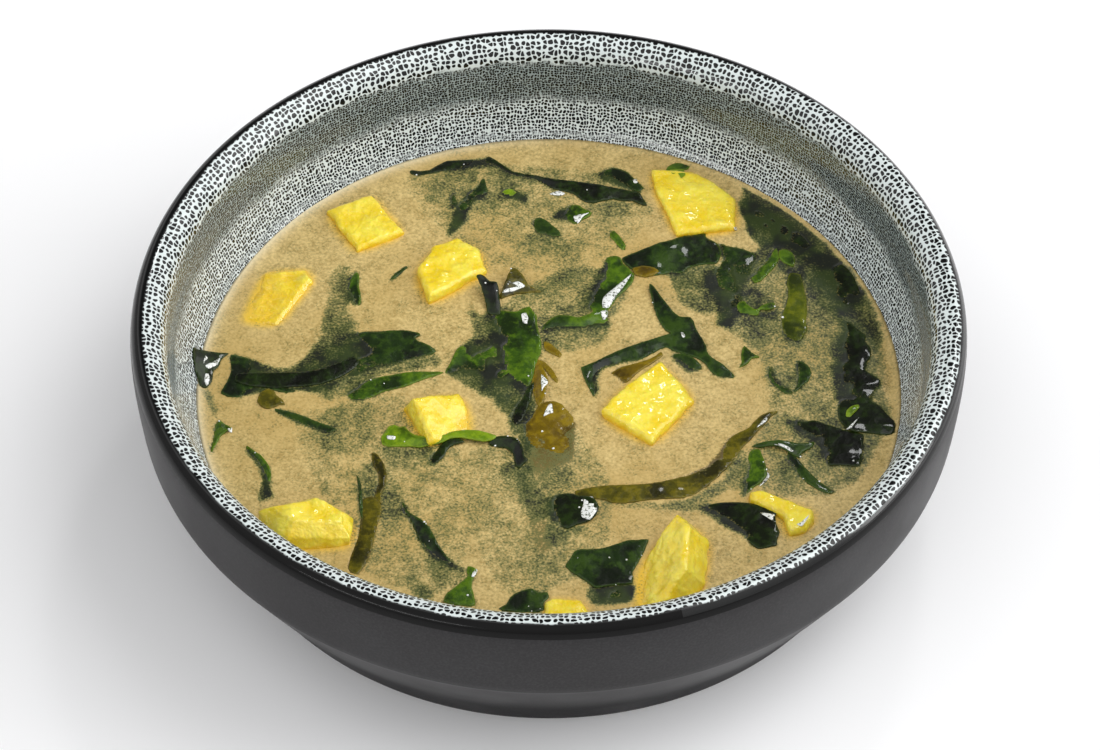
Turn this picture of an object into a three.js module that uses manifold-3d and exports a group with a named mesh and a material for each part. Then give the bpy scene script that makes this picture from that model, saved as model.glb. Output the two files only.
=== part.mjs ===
// Miso soup with silken egg tofu and wakame, in a stoneware bowl.
// Millimetres, +Z up, origin at the centre of the foot on the table.

import * as THREE from 'three';
import { mergeVertices } from 'three/addons/utils/BufferGeometryUtils.js';
import Module from 'manifold-3d';

const wasm = await Module();
wasm.setup();

// ---- Driving dimensions -------------------------------------------------

const RIM_RADIUS = 82.5;        // widest part of the bowl, just under the lip
const BOWL_HEIGHT = 45.3;       // table to the top of the lip
const MOUTH_RADIUS = 78.2;      // inner edge of the lip
const LIP_ROUND = 3;            // rounding over the lip
const CREASE_RADIUS = 81.4;     // edge where the wall turns in to the foot
const CREASE_HEIGHT = 25.5;
const FOOT_RADIUS = 67.2;
const FOOT_RING_WIDTH = 6;      // the unglazed ring the bowl stands on
const FOOT_RECESS = 1.8;        // hollow under the bowl inside that ring
const SHOULDER_RADIUS = 75.9;   // foot of the flared inside of the lip
const SHOULDER_HEIGHT = 41.3;
const WAIST_RADIUS = 74.4;      // the inside wall is steep down to here, then curves in
const WAIST_HEIGHT = 32;
const SOUP_LEVEL = 22.5;        // surface of the broth above the table
const SOUP_RADIUS = 70;         // inside radius at that level
const BELLY_RADIUS = 62;        // inside wall half way from the broth's surface to the floor
const BELLY_HEIGHT = 12;
const FLOOR_HEIGHT = 6.5;       // inside floor above the table
const FLOOR_RADIUS = 50;        // where the inside wall runs out into the floor
const SEGMENTS = 60;            // facets round the bowl and the broth
const GAP = 0.3;                // clearance between touching pieces
const LEAF_THICKNESS = 0.9;     // softened wakame
const STEPS_PER_STATION = 1.6;  // facets along a leaf between its stations
const NARROW_LEAF = 3.7;        // ribbons no wider than this need no middle line
const TOFU_CUT = 0.7;           // worn edge of a knife-cut tofu block
const WALL_STEPS = 2;           // facets up the inside wall between its stations
const WELD = 1e-4;              // points closer than this are one point

const material = (color, roughness) => new THREE.MeshStandardMaterial({ color, roughness, metalness: 0 });

const stoneware = material(0x5c5f60, 0.35);
const misoBroth = material(0xbea573, 0.3);
const eggTofu = material(0xfad73c, 0.35);
const seaweed = material(0x2c3d1c, 0.3);

// ---- Helpers ------------------------------------------------------------

/** A closed geometry as a Manifold solid, for joining and cutting. */
function solid(geometry) {
  const bare = geometry.clone();
  bare.deleteAttribute('normal');
  bare.deleteAttribute('uv');
  const merged = mergeVertices(bare, WELD);
  const index = merged.index.array;
  const triangles = [];
  for (let i = 0; i < index.length; i += 3) {
    const [a, b, c] = index.slice(i, i + 3);
    if (a !== b && b !== c && c !== a) {
      triangles.push(a, b, c);
    }
  }
  return new wasm.Manifold(new wasm.Mesh({
    numProp: 3,
    vertProperties: new Float32Array(merged.attributes.position.array),
    triVerts: new Uint32Array(triangles),
  }));
}

/** A Manifold solid back as a three.js geometry. */
function geometryOf(manifold) {
  const mesh = manifold.getMesh();
  const geometry = new THREE.BufferGeometry();
  geometry.setAttribute('position', new THREE.BufferAttribute(mesh.vertProperties, 3));
  geometry.setIndex(new THREE.BufferAttribute(mesh.triVerts, 1));
  return geometry.toNonIndexed();
}

/** A profile of [radius, height] points turned round the vertical axis. */
function turned(profile) {
  const points = profile.map(([radius, height]) => new THREE.Vector2(radius, height));
  return new THREE.LatheGeometry(points, SEGMENTS).rotateX(Math.PI / 2);
}

// ---- The bowl and the broth ---------------------------------------------

/** The inside wall, from the lip down to the floor, as one sweeping curve. */
const WALL_STATIONS = [
  [MOUTH_RADIUS, BOWL_HEIGHT - LIP_ROUND / 4],
  [SHOULDER_RADIUS, SHOULDER_HEIGHT],
  [WAIST_RADIUS, WAIST_HEIGHT],
  [SOUP_RADIUS, SOUP_LEVEL],
  [BELLY_RADIUS, BELLY_HEIGHT],
  [FLOOR_RADIUS, FLOOR_HEIGHT],
];
const SOUP_STATION = 3;
const insideWall = new THREE.SplineCurve(WALL_STATIONS.map(([r, z]) => new THREE.Vector2(r, z)));

/** Points down the inside wall between two of its stations, a few to each stretch. */
function wallPoints(from, to, stepsEach) {
  const points = [];
  for (let i = from * stepsEach; i <= to * stepsEach; i += 1) {
    points.push(insideWall.getPoint(i / stepsEach / (WALL_STATIONS.length - 1)));
  }
  return points;
}

/** The outer half of the rolled lip, as shares of its rounding: in from the widest radius, down from the top. */
const LIP_ROLL = [[0, 1.5], [0.1, 0.7], [0.4, 0.2]];
const LIP_INNER = [0.3, 0.08];  // the same, for the point just outside the mouth

function bowlGeometry() {
  const wall = wallPoints(0, WALL_STATIONS.length - 1, WALL_STEPS).map((point) => [point.x, point.y]);
  const roll = LIP_ROLL.map(([inward, down]) => [RIM_RADIUS - inward * LIP_ROUND, BOWL_HEIGHT - down * LIP_ROUND]);
  return turned([
    [0, FOOT_RECESS],
    [FOOT_RADIUS - FOOT_RING_WIDTH - FOOT_RECESS, FOOT_RECESS],
    [FOOT_RADIUS - FOOT_RING_WIDTH, 0],
    [FOOT_RADIUS, 0],
    [CREASE_RADIUS, CREASE_HEIGHT],
    ...roll,
    [(RIM_RADIUS + MOUTH_RADIUS) / 2, BOWL_HEIGHT],
    [MOUTH_RADIUS + LIP_INNER[0] * LIP_ROUND, BOWL_HEIGHT - LIP_INNER[1] * LIP_ROUND],
    ...wall,
    [0, FLOOR_HEIGHT],
  ]);
}

function brothGeometry() {
  const wall = wallPoints(SOUP_STATION, WALL_STATIONS.length - 1, WALL_STEPS).reverse();
  const side = wall.map((point) => [point.x - GAP, Math.min(point.y + GAP, SOUP_LEVEL)]);
  return turned([[0, FLOOR_HEIGHT + GAP], ...side, [0, SOUP_LEVEL]]);
}

// ---- Tofu ---------------------------------------------------------------

/** Corners of a plain block's plan, turned by an angle in degrees. */
function rectangle(x, y, length, width, turn) {
  const centre = new THREE.Vector2(x, y);
  const corners = [[-1, -1], [1, -1], [1, 1], [-1, 1]];
  return corners.map(([along, across]) => {
    const corner = new THREE.Vector2(x + along * length / 2, y + across * width / 2);
    return corner.rotateAround(centre, THREE.MathUtils.degToRad(turn)).toArray();
  });
}

// Each block: its plan, the depth it sinks to, how far it stands out of the
// broth, its lean in degrees about X and Y, and its cut where that is larger.
const TOFU = {
  tofu_back_left: {
    plan: [[-46.2, 49], [-37, 53.8], [-29.8, 42.8], [-39.4, 37.4]],
    sunk: 4, out: 1.5, lean: [0, 0],
  },
  tofu_left: {
    plan: [[-58.5, 32], [-49.6, 32.6], [-48.3, 29], [-55, 16.4], [-62.5, 18]],
    sunk: 3, out: 0.6, lean: [0, -5],
  },
  tofu_back_middle: {
    plan: [[-24, 38], [-18.8, 41.2], [-14.4, 38], [-12.8, 31.5], [-24.5, 22.5], [-27, 31]],
    sunk: 8, out: 2, lean: [-3, 4],
  },
  tofu_back_right: {
    plan: [[21.5, 61], [29.5, 60.5], [34, 58], [39, 52.5], [38.5, 44], [26.5, 42], [22, 56]],
    sunk: 2.2, out: 1.6, lean: [0, 0],
  },
  tofu_middle_left: {
    plan: rectangle(-21.2, -9.4, 10.8, 10.8, -66),
    sunk: 8, out: 2, lean: [8, 22],
  },
  tofu_middle: {
    plan: [[22.5, 5.8], [27, -1], [29, -4.5], [20.5, -16.2], [10.3, -8], [14.5, -1.8]],
    sunk: 9, out: 2, lean: [0, 3],
  },
  tofu_front_left: {
    plan: [[-57, -36.5], [-51, -43.5], [-38.6, -42], [-38.2, -36], [-45.5, -31.2]],
    sunk: 3.5, out: 4.8, lean: [-6, 8], cut: 2.4,
  },
  tofu_front: {
    plan: [[27.3, -37.6], [30.4, -42.4], [29.2, -52.7], [22.5, -59.5], [15, -58.5], [16, -50], [19.6, -45.2]],
    sunk: 4.5, out: 3, lean: [0, -38],
  },
  tofu_front_right: {
    plan: [[39.2, -31], [39.2, -29.2], [41.8, -28.6], [51.5, -34], [51.8, -36.5], [49.8, -39], [46.8, -39.8],
      [45.6, -35.4]],
    sunk: 5, out: 2, lean: [0, 0],
  },
  tofu_rim: {
    plan: [[-1, -57.3], [0.5, -56.2], [6, -56.6], [8, -60], [3.5, -64], [-0.8, -62.5]],
    sunk: 3.5, out: 1.6, lean: [0, 0],
  },
};

/** A block cut with a knife: its plan drawn up, with worn edges, then leant over. */
function tofuGeometry({ plan, sunk, out, lean, cut = TOFU_CUT }, gap = 0) {
  const centre = new THREE.Vector2();
  plan.forEach(([x, y]) => centre.add(new THREE.Vector2(x, y)));
  centre.divideScalar(plan.length);
  const outline = plan.map(([x, y]) => new THREE.Vector2(x, y).sub(centre));
  const block = new THREE.ExtrudeGeometry(new THREE.Shape(outline), {
    depth: sunk + out - 2 * cut + 2 * gap,
    bevelThickness: cut,
    bevelSize: cut,
    bevelOffset: gap - cut,
    bevelSegments: 1,
  });
  block.translate(0, 0, cut - sunk - gap);
  block.rotateX(THREE.MathUtils.degToRad(lean[0]));
  block.rotateY(THREE.MathUtils.degToRad(lean[1]));
  return block.translate(centre.x, centre.y, SOUP_LEVEL);
}

// ---- Wakame -------------------------------------------------------------

// Each leaf is one or more ribbons. A ribbon's stations are [x, y, width, lift]
// down its middle, lift being its height over the broth. Roll raises the left
// side, seen from the first station, and cup turns both edges up.
const WAKAME = {
  wakame_back: [{
    stations: [[-28.5, 61, 1, 0.4], [-25, 61.6, 2.4, 0.3], [-20, 62.6, 3, 0.3], [-14, 62, 4, 0.2],
      [-8, 60.2, 4, 0.3], [-2, 58, 3.6, 0.6], [4, 56, 5, 0.9], [11, 54.3, 5, 0.8], [19.3, 52.8, 1.4, 0.4]],
    roll: 8, cup: -0.2,
  }],
  wakame_back_stem: [{
    stations: [[-13.6, 58.6, 1, 0.4], [-14.2, 55.5, 2.4, 0.5], [-17, 52.5, 2.8, 0.3], [-18.6, 48, 2, 0.3],
      [-19.6, 43.6, 0.9, 0.1]],
    roll: 10, cup: 0,
  }],
  wakame_leaf_left: [{
    stations: [[-39.8, 31.5, 0.9, 0.2], [-39.3, 28.5, 2.2, 0.4], [-38.8, 25.5, 2.4, 0.4], [-39.4, 22, 0.9, 0.1]],
    roll: 12, cup: 0,
  }],
  wakame_left: [{
    stations: [[-66, 5, 4, 0.5], [-61, 4, 8, 0.3], [-55, 3, 7.5, 0.2], [-49.5, 3.6, 8, 0.2],
      [-44.5, 6.6, 10, 0.3], [-39, 9, 10, 0.5], [-33, 11, 8, 0.7], [-27.5, 11.4, 6.5, 0.7], [-23.8, 10.3, 3.5, 0.5]],
    roll: 3, cup: -0.3,
  }, {
    stations: [[-69, 9, 1, 1.6], [-68, 6.3, 3.4, 1.2], [-67.2, 3, 3.4, 0.9], [-67.4, 0, 1, 0.5]],
    roll: 8, cup: 0.5,
  }],
  wakame_left_lower: [{
    stations: [[-40.5, -2.5, 1.4, 0.1], [-36.5, -2, 3.6, 0.3], [-31.5, 0, 4, 0.5], [-26.5, 2.2, 3, 0.6],
      [-22.8, 3, 1.6, 0.5]],
    roll: 6, cup: -0.2,
  }],
  wakame_middle: [{
    stations: [[-20.4, 5.8, 4, 0.4], [-16, 6.6, 9, 0.6], [-11.5, 8.6, 14, 0.8], [-7.8, 13, 12, 0.9],
      [-5, 18.8, 5, 0.7]],
    roll: 3, cup: -0.4,
  }],
  wakame_upright: [{
    stations: [[-11.4, 20.8, 1.6, 0.3], [-11.7, 23.4, 2.8, 1.2], [-12.2, 26, 2.8, 2], [-12.6, 28, 1, 2.6]],
    roll: 15, cup: 0,
  }],
  wakame_curl: [{
    stations: [[-7.4, 30.8, 0.9, 2], [-7, 28.2, 3, 1.6], [-6.4, 25.8, 4.6, 1], [-8, 23.4, 1.8, 0.5]],
    roll: -10, cup: 0.3,
  }],
  wakame_bend: [{
    stations: [[-1.2, 14.4, 1.4, 0.3], [2.5, 16.6, 4.2, 0.6], [6.5, 17, 4.4, 0.6], [10.2, 18.6, 4.6, 0.9],
      [12.2, 22.8, 5.6, 1], [13, 27.5, 6.6, 0.8], [13.6, 31.6, 5.2, 0.6], [12.9, 35.2, 1.6, 0.4]],
    roll: -6, cup: -0.2,
  }],
  wakame_pod: [{
    stations: [[16.6, 34.2, 1.2, 0.5], [20.5, 35.2, 4.6, 0.8], [26, 36.8, 6, 1], [31, 37.4, 5.4, 0.9],
      [36, 36.6, 4.4, 0.5], [39.6, 33.8, 5, 0.2], [39.2, 30, 4, 0], [37.9, 27, 1.6, -0.1]],
    roll: 7, cup: -0.3,
  }],
  wakame_fork: [{
    stations: [[20.7, 28, 0.9, 0.6], [22.4, 23.2, 3.2, 0.7], [25, 18, 4.2, 0.7], [28.5, 13.2, 4.8, 0.6],
      [31.8, 8.4, 3.8, 0.5], [35, 4.2, 2.8, 0.4], [38.2, 0.2, 1, 0.2]],
    roll: 6, cup: -0.2,
  }],
  wakame_fork_arm: [{
    stations: [[24.9, 12.1, 2.6, 0.6], [21, 10.4, 3.4, 0.8], [14.4, 7.4, 3.6, 0.7], [8.8, 4.2, 3.4, 0.5],
      [7.6, 1, 2.2, 0.3], [8.8, -2.4, 1, 0.1]],
    roll: -6, cup: -0.1,
  }],
  wakame_wall_back: [{
    stations: [[41.2, 51.6, 1.6, 0.2], [43.4, 47.6, 5, 0.2], [48, 43.4, 6, 0.2], [52.4, 38.2, 5.4, 0.3],
      [55.4, 32, 7, 0.2], [58.4, 26, 6.4, 0.3], [59.6, 20.4, 2, 0.2]],
    roll: -3, cup: 0,
  }],
  wakame_fin: [{
    stations: [[43.6, 30, 1, 0.4], [44.9, 33, 2.2, 0.7], [46.6, 36, 2.4, 0.8], [48.3, 36.8, 1, 0.6]],
    roll: 10, cup: 0,
  }],
  wakame_blade_right: [{
    stations: [[49.6, 30, 1.2, 0.3], [50, 26, 3.4, 0.4], [49.8, 21, 4.4, 0.3], [50, 17, 3.4, 0.2],
      [50.9, 14, 1, 0.1]],
    roll: 8, cup: 0,
  }],
  wakame_wall_right: [{
    stations: [[60.4, 17, 2.6, 0.3], [61, 12, 6, 0.2], [60.8, 5, 7, 0.2], [61.2, -2, 6.6, 0.2],
      [62.8, -7.4, 5.6, 0.4], [66.2, -11, 2.6, 0.2]],
    roll: -3, cup: 0.2,
  }],
  wakame_sheet: [{
    stations: [[45.8, -9.8, 1.8, 0.1], [50, -11.6, 4.2, 0.4], [54, -13.8, 6.6, 0.5], [58, -16.8, 7.4, 0.5],
      [60.6, -20, 3.4, 0.3]],
    roll: 4, cup: -0.2,
  }],
  wakame_arch: [{
    stations: [[40.7, -16.8, 1.2, 0.5], [43.6, -15.9, 2.2, 1], [47, -16.6, 2.4, 1.1], [50, -18.2, 1, 0.6]],
    roll: 8, cup: 0,
  }],
  wakame_drop: [{
    stations: [[40.8, -18.6, 1.8, 0.6], [41.4, -21.4, 4.2, 0.8], [41.2, -24.4, 3.6, 0.7], [39.8, -27, 1, 0.3]],
    roll: -8, cup: 0.3,
  }],
  wakame_sprig: [{
    stations: [[48, -19.4, 1, 0.4], [50.2, -22, 2.2, 0.5], [53, -25.2, 2.2, 0.4], [55.2, -28.4, 1, 0.2]],
    roll: -10, cup: 0,
  }],
  wakame_strand: [{
    stations: [[44.8, -7.8, 0.9, 0.5], [41.7, -11.2, 2, 0.7], [37.9, -16, 3.4, 0.6], [34.4, -21, 4.6, 0.5],
      [30.2, -25.6, 4.8, 0.5], [24.8, -28, 4, 0.6], [18.6, -28.8, 3.2, 0.6], [11.2, -28.8, 1.8, 0.5]],
    roll: 6, cup: -0.2,
  }],
  wakame_knot: [{
    stations: [[4.4, -28.2, 2.4, 0.4], [5.6, -31.4, 6.6, 0.9], [5.2, -35, 6, 0.7], [3.4, -38.4, 1.8, 0.2]],
    roll: -4, cup: -0.5,
  }],
  wakame_strip: [{
    stations: [[-0.9, 4, 1.2, 0.6], [-1.9, 0.4, 2.6, 0.8], [-1.6, -4, 4, 0.7], [-0.4, -9, 6, 0.3],
      [-0.2, -14, 6.4, 0.1], [-0.8, -19, 4.6, 0.1], [-1.2, -22.4, 1.6, 0]],
    roll: -3, cup: -0.1,
  }],
  wakame_ruffle: [{
    stations: [[-32.4, -12.6, 1.6, 0.4], [-29.6, -14, 3, 0.8], [-25.8, -17.2, 2, 1], [-21.4, -17.9, 1.8, 1.2],
      [-17, -16.2, 1.8, 1.2], [-13.4, -14.6, 1.8, 1], [-10.6, -14.4, 1, 0.6]],
    roll: 6, cup: 0,
  }],
  wakame_hook: [{
    stations: [[-9, -15.7, 1.2, 0.9], [-6.8, -16, 2.6, 1.3], [-5.4, -18.6, 1.8, 0.7], [-5.6, -21, 0.8, 0.2]],
    roll: 10, cup: 0,
  }],
  wakame_front_left: [{
    stations: [[-28.4, -31, 1, 0.3], [-26.4, -34.6, 2.6, 0.6], [-24, -38.2, 3.6, 0.6], [-21.4, -42.2, 3, 0.5],
      [-18.2, -46, 1, 0.2]],
    roll: 12, cup: 0,
  }],
  wakame_front_tip: [{
    stations: [[-14.4, -48, 1, 0.7], [-15.8, -51, 3.4, 0.8], [-18, -54.6, 2.8, 0.7], [-19.6, -57.4, 1, 0.4]],
    roll: 10, cup: 0.2,
  }],
  wakame_small_left: [{
    stations: [[-64.8, -9, 0.9, 0.2], [-64, -12, 2.4, 0.6], [-65.2, -15, 1.8, 0.4], [-65.8, -17.8, 0.8, 0.1]],
    roll: 12, cup: 0,
  }],
  wakame_crescent: [{
    stations: [[-60, -16, 0.9, 0.3], [-57.6, -19.8, 2.4, 0.5], [-55.8, -23.6, 2.6, 0.4], [-55.6, -28, 1.2, 0]],
    roll: 12, cup: 0,
  }],
  wakame_front_sheet: [{
    stations: [[3.4, -47.2, 1.6, 0.3], [6.6, -47, 7, 0.5], [10.6, -46.8, 9, 0.6], [14, -45.4, 7.4, 0.6],
      [16.6, -43.2, 3.6, 0.5]],
    roll: 5, cup: -0.2,
  }],
  wakame_front_leaf: [{
    stations: [[31, -31.6, 1.2, 0.2], [34.4, -33.2, 4.2, 0.5], [38.2, -35.5, 5.4, 0.7], [41.4, -38.4, 6.4, 0.8],
      [42.4, -41.6, 3.4, 0.6]],
    roll: 8, cup: -0.2,
  }],
  wakame_flake_back: [{
    stations: [[1, 47.2, 1, 0.2], [3.4, 49, 2.4, 0.5], [6, 49.2, 2.4, 0.6], [8.4, 48.4, 0.9, 0.4]],
    roll: 10, cup: 0,
  }],
  wakame_flake_right: [{
    stations: [[38.7, 23, 0.9, 0.4], [40.8, 21.2, 2.2, 0.6], [43.4, 20.7, 2.4, 0.7], [46.2, 22, 1, 0.6]],
    roll: 8, cup: 0,
  }],
  wakame_rim: [{
    stations: [[-9.4, -58.6, 1.2, 0.3], [-6.6, -57.8, 3.8, 0.6], [-3.6, -57.2, 4.4, 0.6], [-1.9, -56.6, 2.4, 0.5]],
    roll: 8, cup: 0,
  }],
};

/** One ribbon: a slab bent along its stations, with every width and lift eased. */
function ribbonGeometry({ stations, roll, cup }, gap = 0) {
  const middle = new THREE.CatmullRomCurve3(
    stations.map(([x, y, , lift]) => new THREE.Vector3(x, y, SOUP_LEVEL + lift)),
  );
  const widths = new THREE.SplineCurve(stations.map(([, , width], i) => new THREE.Vector2(i, width)));
  const steps = Math.round(STEPS_PER_STATION * (stations.length - 1));
  const narrow = stations.every(([, , width]) => width <= NARROW_LEAF);
  const slab = new THREE.BoxGeometry(1, 1, 1, narrow ? 1 : 2, 1, steps);
  const position = slab.attributes.position;
  const turn = THREE.MathUtils.degToRad(roll);
  const vertex = new THREE.Vector3();
  for (let i = 0; i < position.count; i += 1) {
    vertex.fromBufferAttribute(position, i);
    const time = THREE.MathUtils.clamp(vertex.z + 0.5, 0, 1);
    const along = middle.getTangent(time);
    const left = new THREE.Vector3(-along.y, along.x, 0).normalize().applyAxisAngle(along, -turn);
    const up = new THREE.Vector3().crossVectors(along, left);
    const halfWidth = widths.getPoint(time).y / 2 + gap;
    const end = Math.round(time) === time ? (2 * time - 1) * gap : 0;
    const across = 2 * vertex.x;
    position.setXYZ(i, ...middle.getPoint(time)
      .addScaledVector(left, across * halfWidth)
      .addScaledVector(up, vertex.y * (LEAF_THICKNESS + 2 * gap) + cup * across * across)
      .addScaledVector(along, end));
  }
  return slab;
}

/** A leaf's ribbons joined into one solid. */
function leafSolid(ribbons, gap = 0) {
  return ribbons
    .map((ribbon) => solid(ribbonGeometry(ribbon, gap)))
    .reduce((whole, ribbon) => whole.add(ribbon));
}

// ---- The whole ----------------------------------------------------------

const group = new THREE.Group();

function place(name, geometry, finish) {
  const mesh = new THREE.Mesh(geometry, finish.clone());
  mesh.name = name;
  group.add(mesh);
}

place('bowl', bowlGeometry(), stoneware);

let broth = solid(brothGeometry());

for (const [name, block] of Object.entries(TOFU)) {
  place(name, tofuGeometry(block), eggTofu);
  broth = broth.subtract(solid(tofuGeometry(block, GAP)));
}

for (const [name, ribbons] of Object.entries(WAKAME)) {
  const joined = ribbons.length > 1;
  place(name, joined ? geometryOf(leafSolid(ribbons)) : ribbonGeometry(ribbons[0]), seaweed);
  broth = broth.subtract(leafSolid(ribbons, GAP));
}

place('broth', geometryOf(broth), misoBroth);

export default group;
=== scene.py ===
# %% [markdown]
# # Miso soup with egg tofu and wakame, in a stoneware bowl
# The bowl is thrown stoneware. Inside it carries a white glaze that has crawled into a fine net over black,
# and outside it is matte charcoal under a gloss black lip. The broth is cloudy with miso, so that a leaf
# just under its surface shows as a grainy shadow that fades with depth. The tofu and the wakame lie in it,
# wet.
#
# Each piece below has a note on what it is on the real thing, how it could be made, and why it is made this
# way.

# %%
# The frame, a function for the box of what is shown, and the imported part, before anything is added to it.
import math

import bpy
import numpy as np
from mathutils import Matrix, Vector, noise
from mathutils.bvhtree import BVHTree


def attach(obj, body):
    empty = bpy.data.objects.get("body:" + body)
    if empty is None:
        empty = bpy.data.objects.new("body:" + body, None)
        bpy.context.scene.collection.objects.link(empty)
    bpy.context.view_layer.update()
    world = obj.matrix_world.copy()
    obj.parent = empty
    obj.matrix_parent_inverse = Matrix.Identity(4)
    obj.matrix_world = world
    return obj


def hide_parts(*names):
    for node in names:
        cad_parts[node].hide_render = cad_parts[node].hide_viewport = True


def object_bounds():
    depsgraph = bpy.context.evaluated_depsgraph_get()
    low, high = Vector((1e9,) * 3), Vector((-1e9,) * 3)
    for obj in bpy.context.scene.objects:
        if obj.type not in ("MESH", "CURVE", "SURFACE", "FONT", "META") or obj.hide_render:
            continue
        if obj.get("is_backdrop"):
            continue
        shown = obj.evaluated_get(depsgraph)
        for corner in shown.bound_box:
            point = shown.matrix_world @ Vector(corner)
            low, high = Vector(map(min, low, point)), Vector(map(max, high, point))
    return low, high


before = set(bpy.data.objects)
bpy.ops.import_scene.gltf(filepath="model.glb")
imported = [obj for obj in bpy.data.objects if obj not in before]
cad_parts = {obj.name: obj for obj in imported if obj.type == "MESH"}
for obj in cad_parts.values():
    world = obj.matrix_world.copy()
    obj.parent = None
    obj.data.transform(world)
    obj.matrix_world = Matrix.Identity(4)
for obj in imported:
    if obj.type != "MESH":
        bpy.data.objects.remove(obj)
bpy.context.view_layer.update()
MM = 0.001
LEVEL = 22.5

# %% [markdown]
# ## The camera
# It looks down at about 47 degrees from 0.9 m, with a long lens, so that the rim is a wide even ellipse and
# the near and far sides have nearly the same scale.

# %%
# A camera whose aim is a given point.
CAMERA_AT = Vector((0, -0.613, 0.6853))
AIM = Vector((0.00026, 0.0005, 0.02546))
bpy.ops.object.camera_add(location=CAMERA_AT, rotation=(AIM - CAMERA_AT).to_track_quat("-Z", "Y").to_euler())
camera = bpy.context.object
camera.data.lens = 147.4
camera.data.sensor_width = 36
camera.data.clip_start = 0.01
bpy.context.scene.camera = camera
bpy.context.scene.view_settings.view_transform = "Standard"
print("camera tilt, degrees:", round(math.degrees(camera.rotation_euler.x), 1))

# %% [markdown]
# ## Helpers
# Selection, modifiers and vertex positions are handled by a few short functions, in millimetres, because
# every size on this dish is easiest to say in millimetres.

# %%
# Selection, applied modifiers, and vertex positions in millimetres.
def activate(obj):
    """Only obj is selected, and it is the active object."""
    if bpy.context.object and bpy.context.object.mode != "OBJECT":
        bpy.ops.object.mode_set(mode="OBJECT")
    bpy.ops.object.select_all(action="DESELECT")
    obj.select_set(True)
    bpy.context.view_layer.objects.active = obj


def apply_modifier(obj, kind, **settings):
    """Adds a modifier to obj, sets it and applies it."""
    activate(obj)
    modifier = obj.modifiers.new(kind.title(), kind)
    for name, value in settings.items():
        setattr(modifier, name, value)
    bpy.ops.object.modifier_apply(modifier=modifier.name)


def points(obj):
    """The vertices of obj, in millimetres."""
    flat = np.zeros(len(obj.data.vertices) * 3)
    obj.data.vertices.foreach_get("co", flat)
    return flat.reshape(-1, 3) / MM


def put(obj, mm):
    """Moves the vertices of obj to these points, in millimetres."""
    obj.data.vertices.foreach_set("co", (mm * MM).ravel())
    obj.data.update()


def store(obj, name, values):
    """Keeps one number per vertex, for the materials to read."""
    attribute = obj.data.attributes.get(name) or obj.data.attributes.new(name, "FLOAT", "POINT")
    attribute.data.foreach_set("value", np.asarray(values, dtype=np.float32))


def rough(mm, size, seed):
    """Smooth noise from -1 to 1 at points in millimetres, with bumps about size millimetres wide."""
    shift = Vector((seed * 17.3, seed * -9.1, seed * 5.7))
    return np.array([noise.noise(Vector(p) / size + shift) for p in mm])


def finish_piece(obj, material, slot, *nodes):
    """Gives obj its finish, sets it on the root body, and hides the CAD nodes it stands for."""
    obj.data.materials.clear()
    obj.data.materials.append(material)
    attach(obj, "root")
    if nodes:
        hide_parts(*nodes)


# %% [markdown]
# ## Materials: how they are written
# Every finish is procedural. Colours are given as sRGB hex, and pattern sizes in real millimetres. One
# function adds a node with its settings and links, so that each material reads as a list of what it is made
# of.

# %%
# Colours and nodes.
def colour(code):
    """An sRGB hex colour as linear RGBA."""
    parts = [int(code[i:i + 2], 16) / 255 for i in (0, 2, 4)]
    return (*[c / 12.92 if c <= 0.04045 else ((c + 0.055) / 1.055) ** 2.4 for c in parts], 1.0)


def new_material(name):
    """An empty node material with its shader and output."""
    material = bpy.data.materials.new(name)
    material.use_nodes = True
    return material, material.node_tree.nodes["Principled BSDF"]


def add(material, kind, inputs=None, **settings):
    """Adds a node. An input is a value, or the output socket that feeds it."""
    node = material.node_tree.nodes.new("ShaderNode" + kind)
    for name, value in settings.items():
        setattr(node, name, value)
    for name, value in (inputs or {}).items():
        if isinstance(value, bpy.types.NodeSocket):
            material.node_tree.links.new(value, node.inputs[name])
        else:
            node.inputs[name].default_value = value
    return node


def feed(material, shader, **sockets):
    """Links outputs to the shader's sockets, or sets them; underscores stand for spaces."""
    for name, value in sockets.items():
        socket = shader.inputs[name.replace("_", " ")]
        if isinstance(value, bpy.types.NodeSocket):
            material.node_tree.links.new(value, socket)
        else:
            socket.default_value = value


def maths(material, operation, a, b=0.0, c=0.0, clamp=False):
    """One sum of up to three values."""
    return add(material, "Math", {0: a, 1: b, 2: c}, operation=operation, use_clamp=clamp).outputs[0]


def between(material, value, low, high, to_low=0.0, to_high=1.0):
    """Value eased from its range low to high onto another range."""
    return add(material, "MapRange", {"Value": value, "From Min": low, "From Max": high, "To Min": to_low,
                                      "To Max": to_high}, interpolation_type="SMOOTHSTEP").outputs[0]


def blend(material, amount, a, b):
    """Two colours mixed by an amount."""
    node = add(material, "Mix", {0: amount}, data_type="RGBA", clamp_factor=True)
    for socket, value in ((node.inputs[6], a), (node.inputs[7], b)):
        if isinstance(value, bpy.types.NodeSocket):
            material.node_tree.links.new(value, socket)
        else:
            socket.default_value = colour(value)
    return node.outputs[2]


def grain(material, where, size, detail=2.0, roughness=0.5):
    """Noise with grains about size millimetres wide, read in metres at where."""
    return add(material, "TexNoise", {"Vector": where, "Scale": 1 / (size * MM), "Detail": detail,
                                      "Roughness": roughness}).outputs["Fac"]


def stored(material, name):
    """The number kept under a name at each vertex."""
    return add(material, "Attribute", attribute_name=name).outputs["Fac"]


def own_place(material):
    """The point being shaded, in the object's own coordinates."""
    return add(material, "TexCoord").outputs["Object"]


def millimetres(material, where, axis):
    """One coordinate of a place, in millimetres."""
    return maths(material, "MULTIPLY", add(material, "SeparateXYZ", {0: where}).outputs[axis], 1 / MM)


def bumped(material, height, size, strength=1.0):
    """A surface pushed up by height times size millimetres."""
    bump = add(material, "Bump", {"Height": height, "Distance": size * MM, "Strength": strength})
    return bump.outputs["Normal"]


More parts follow.
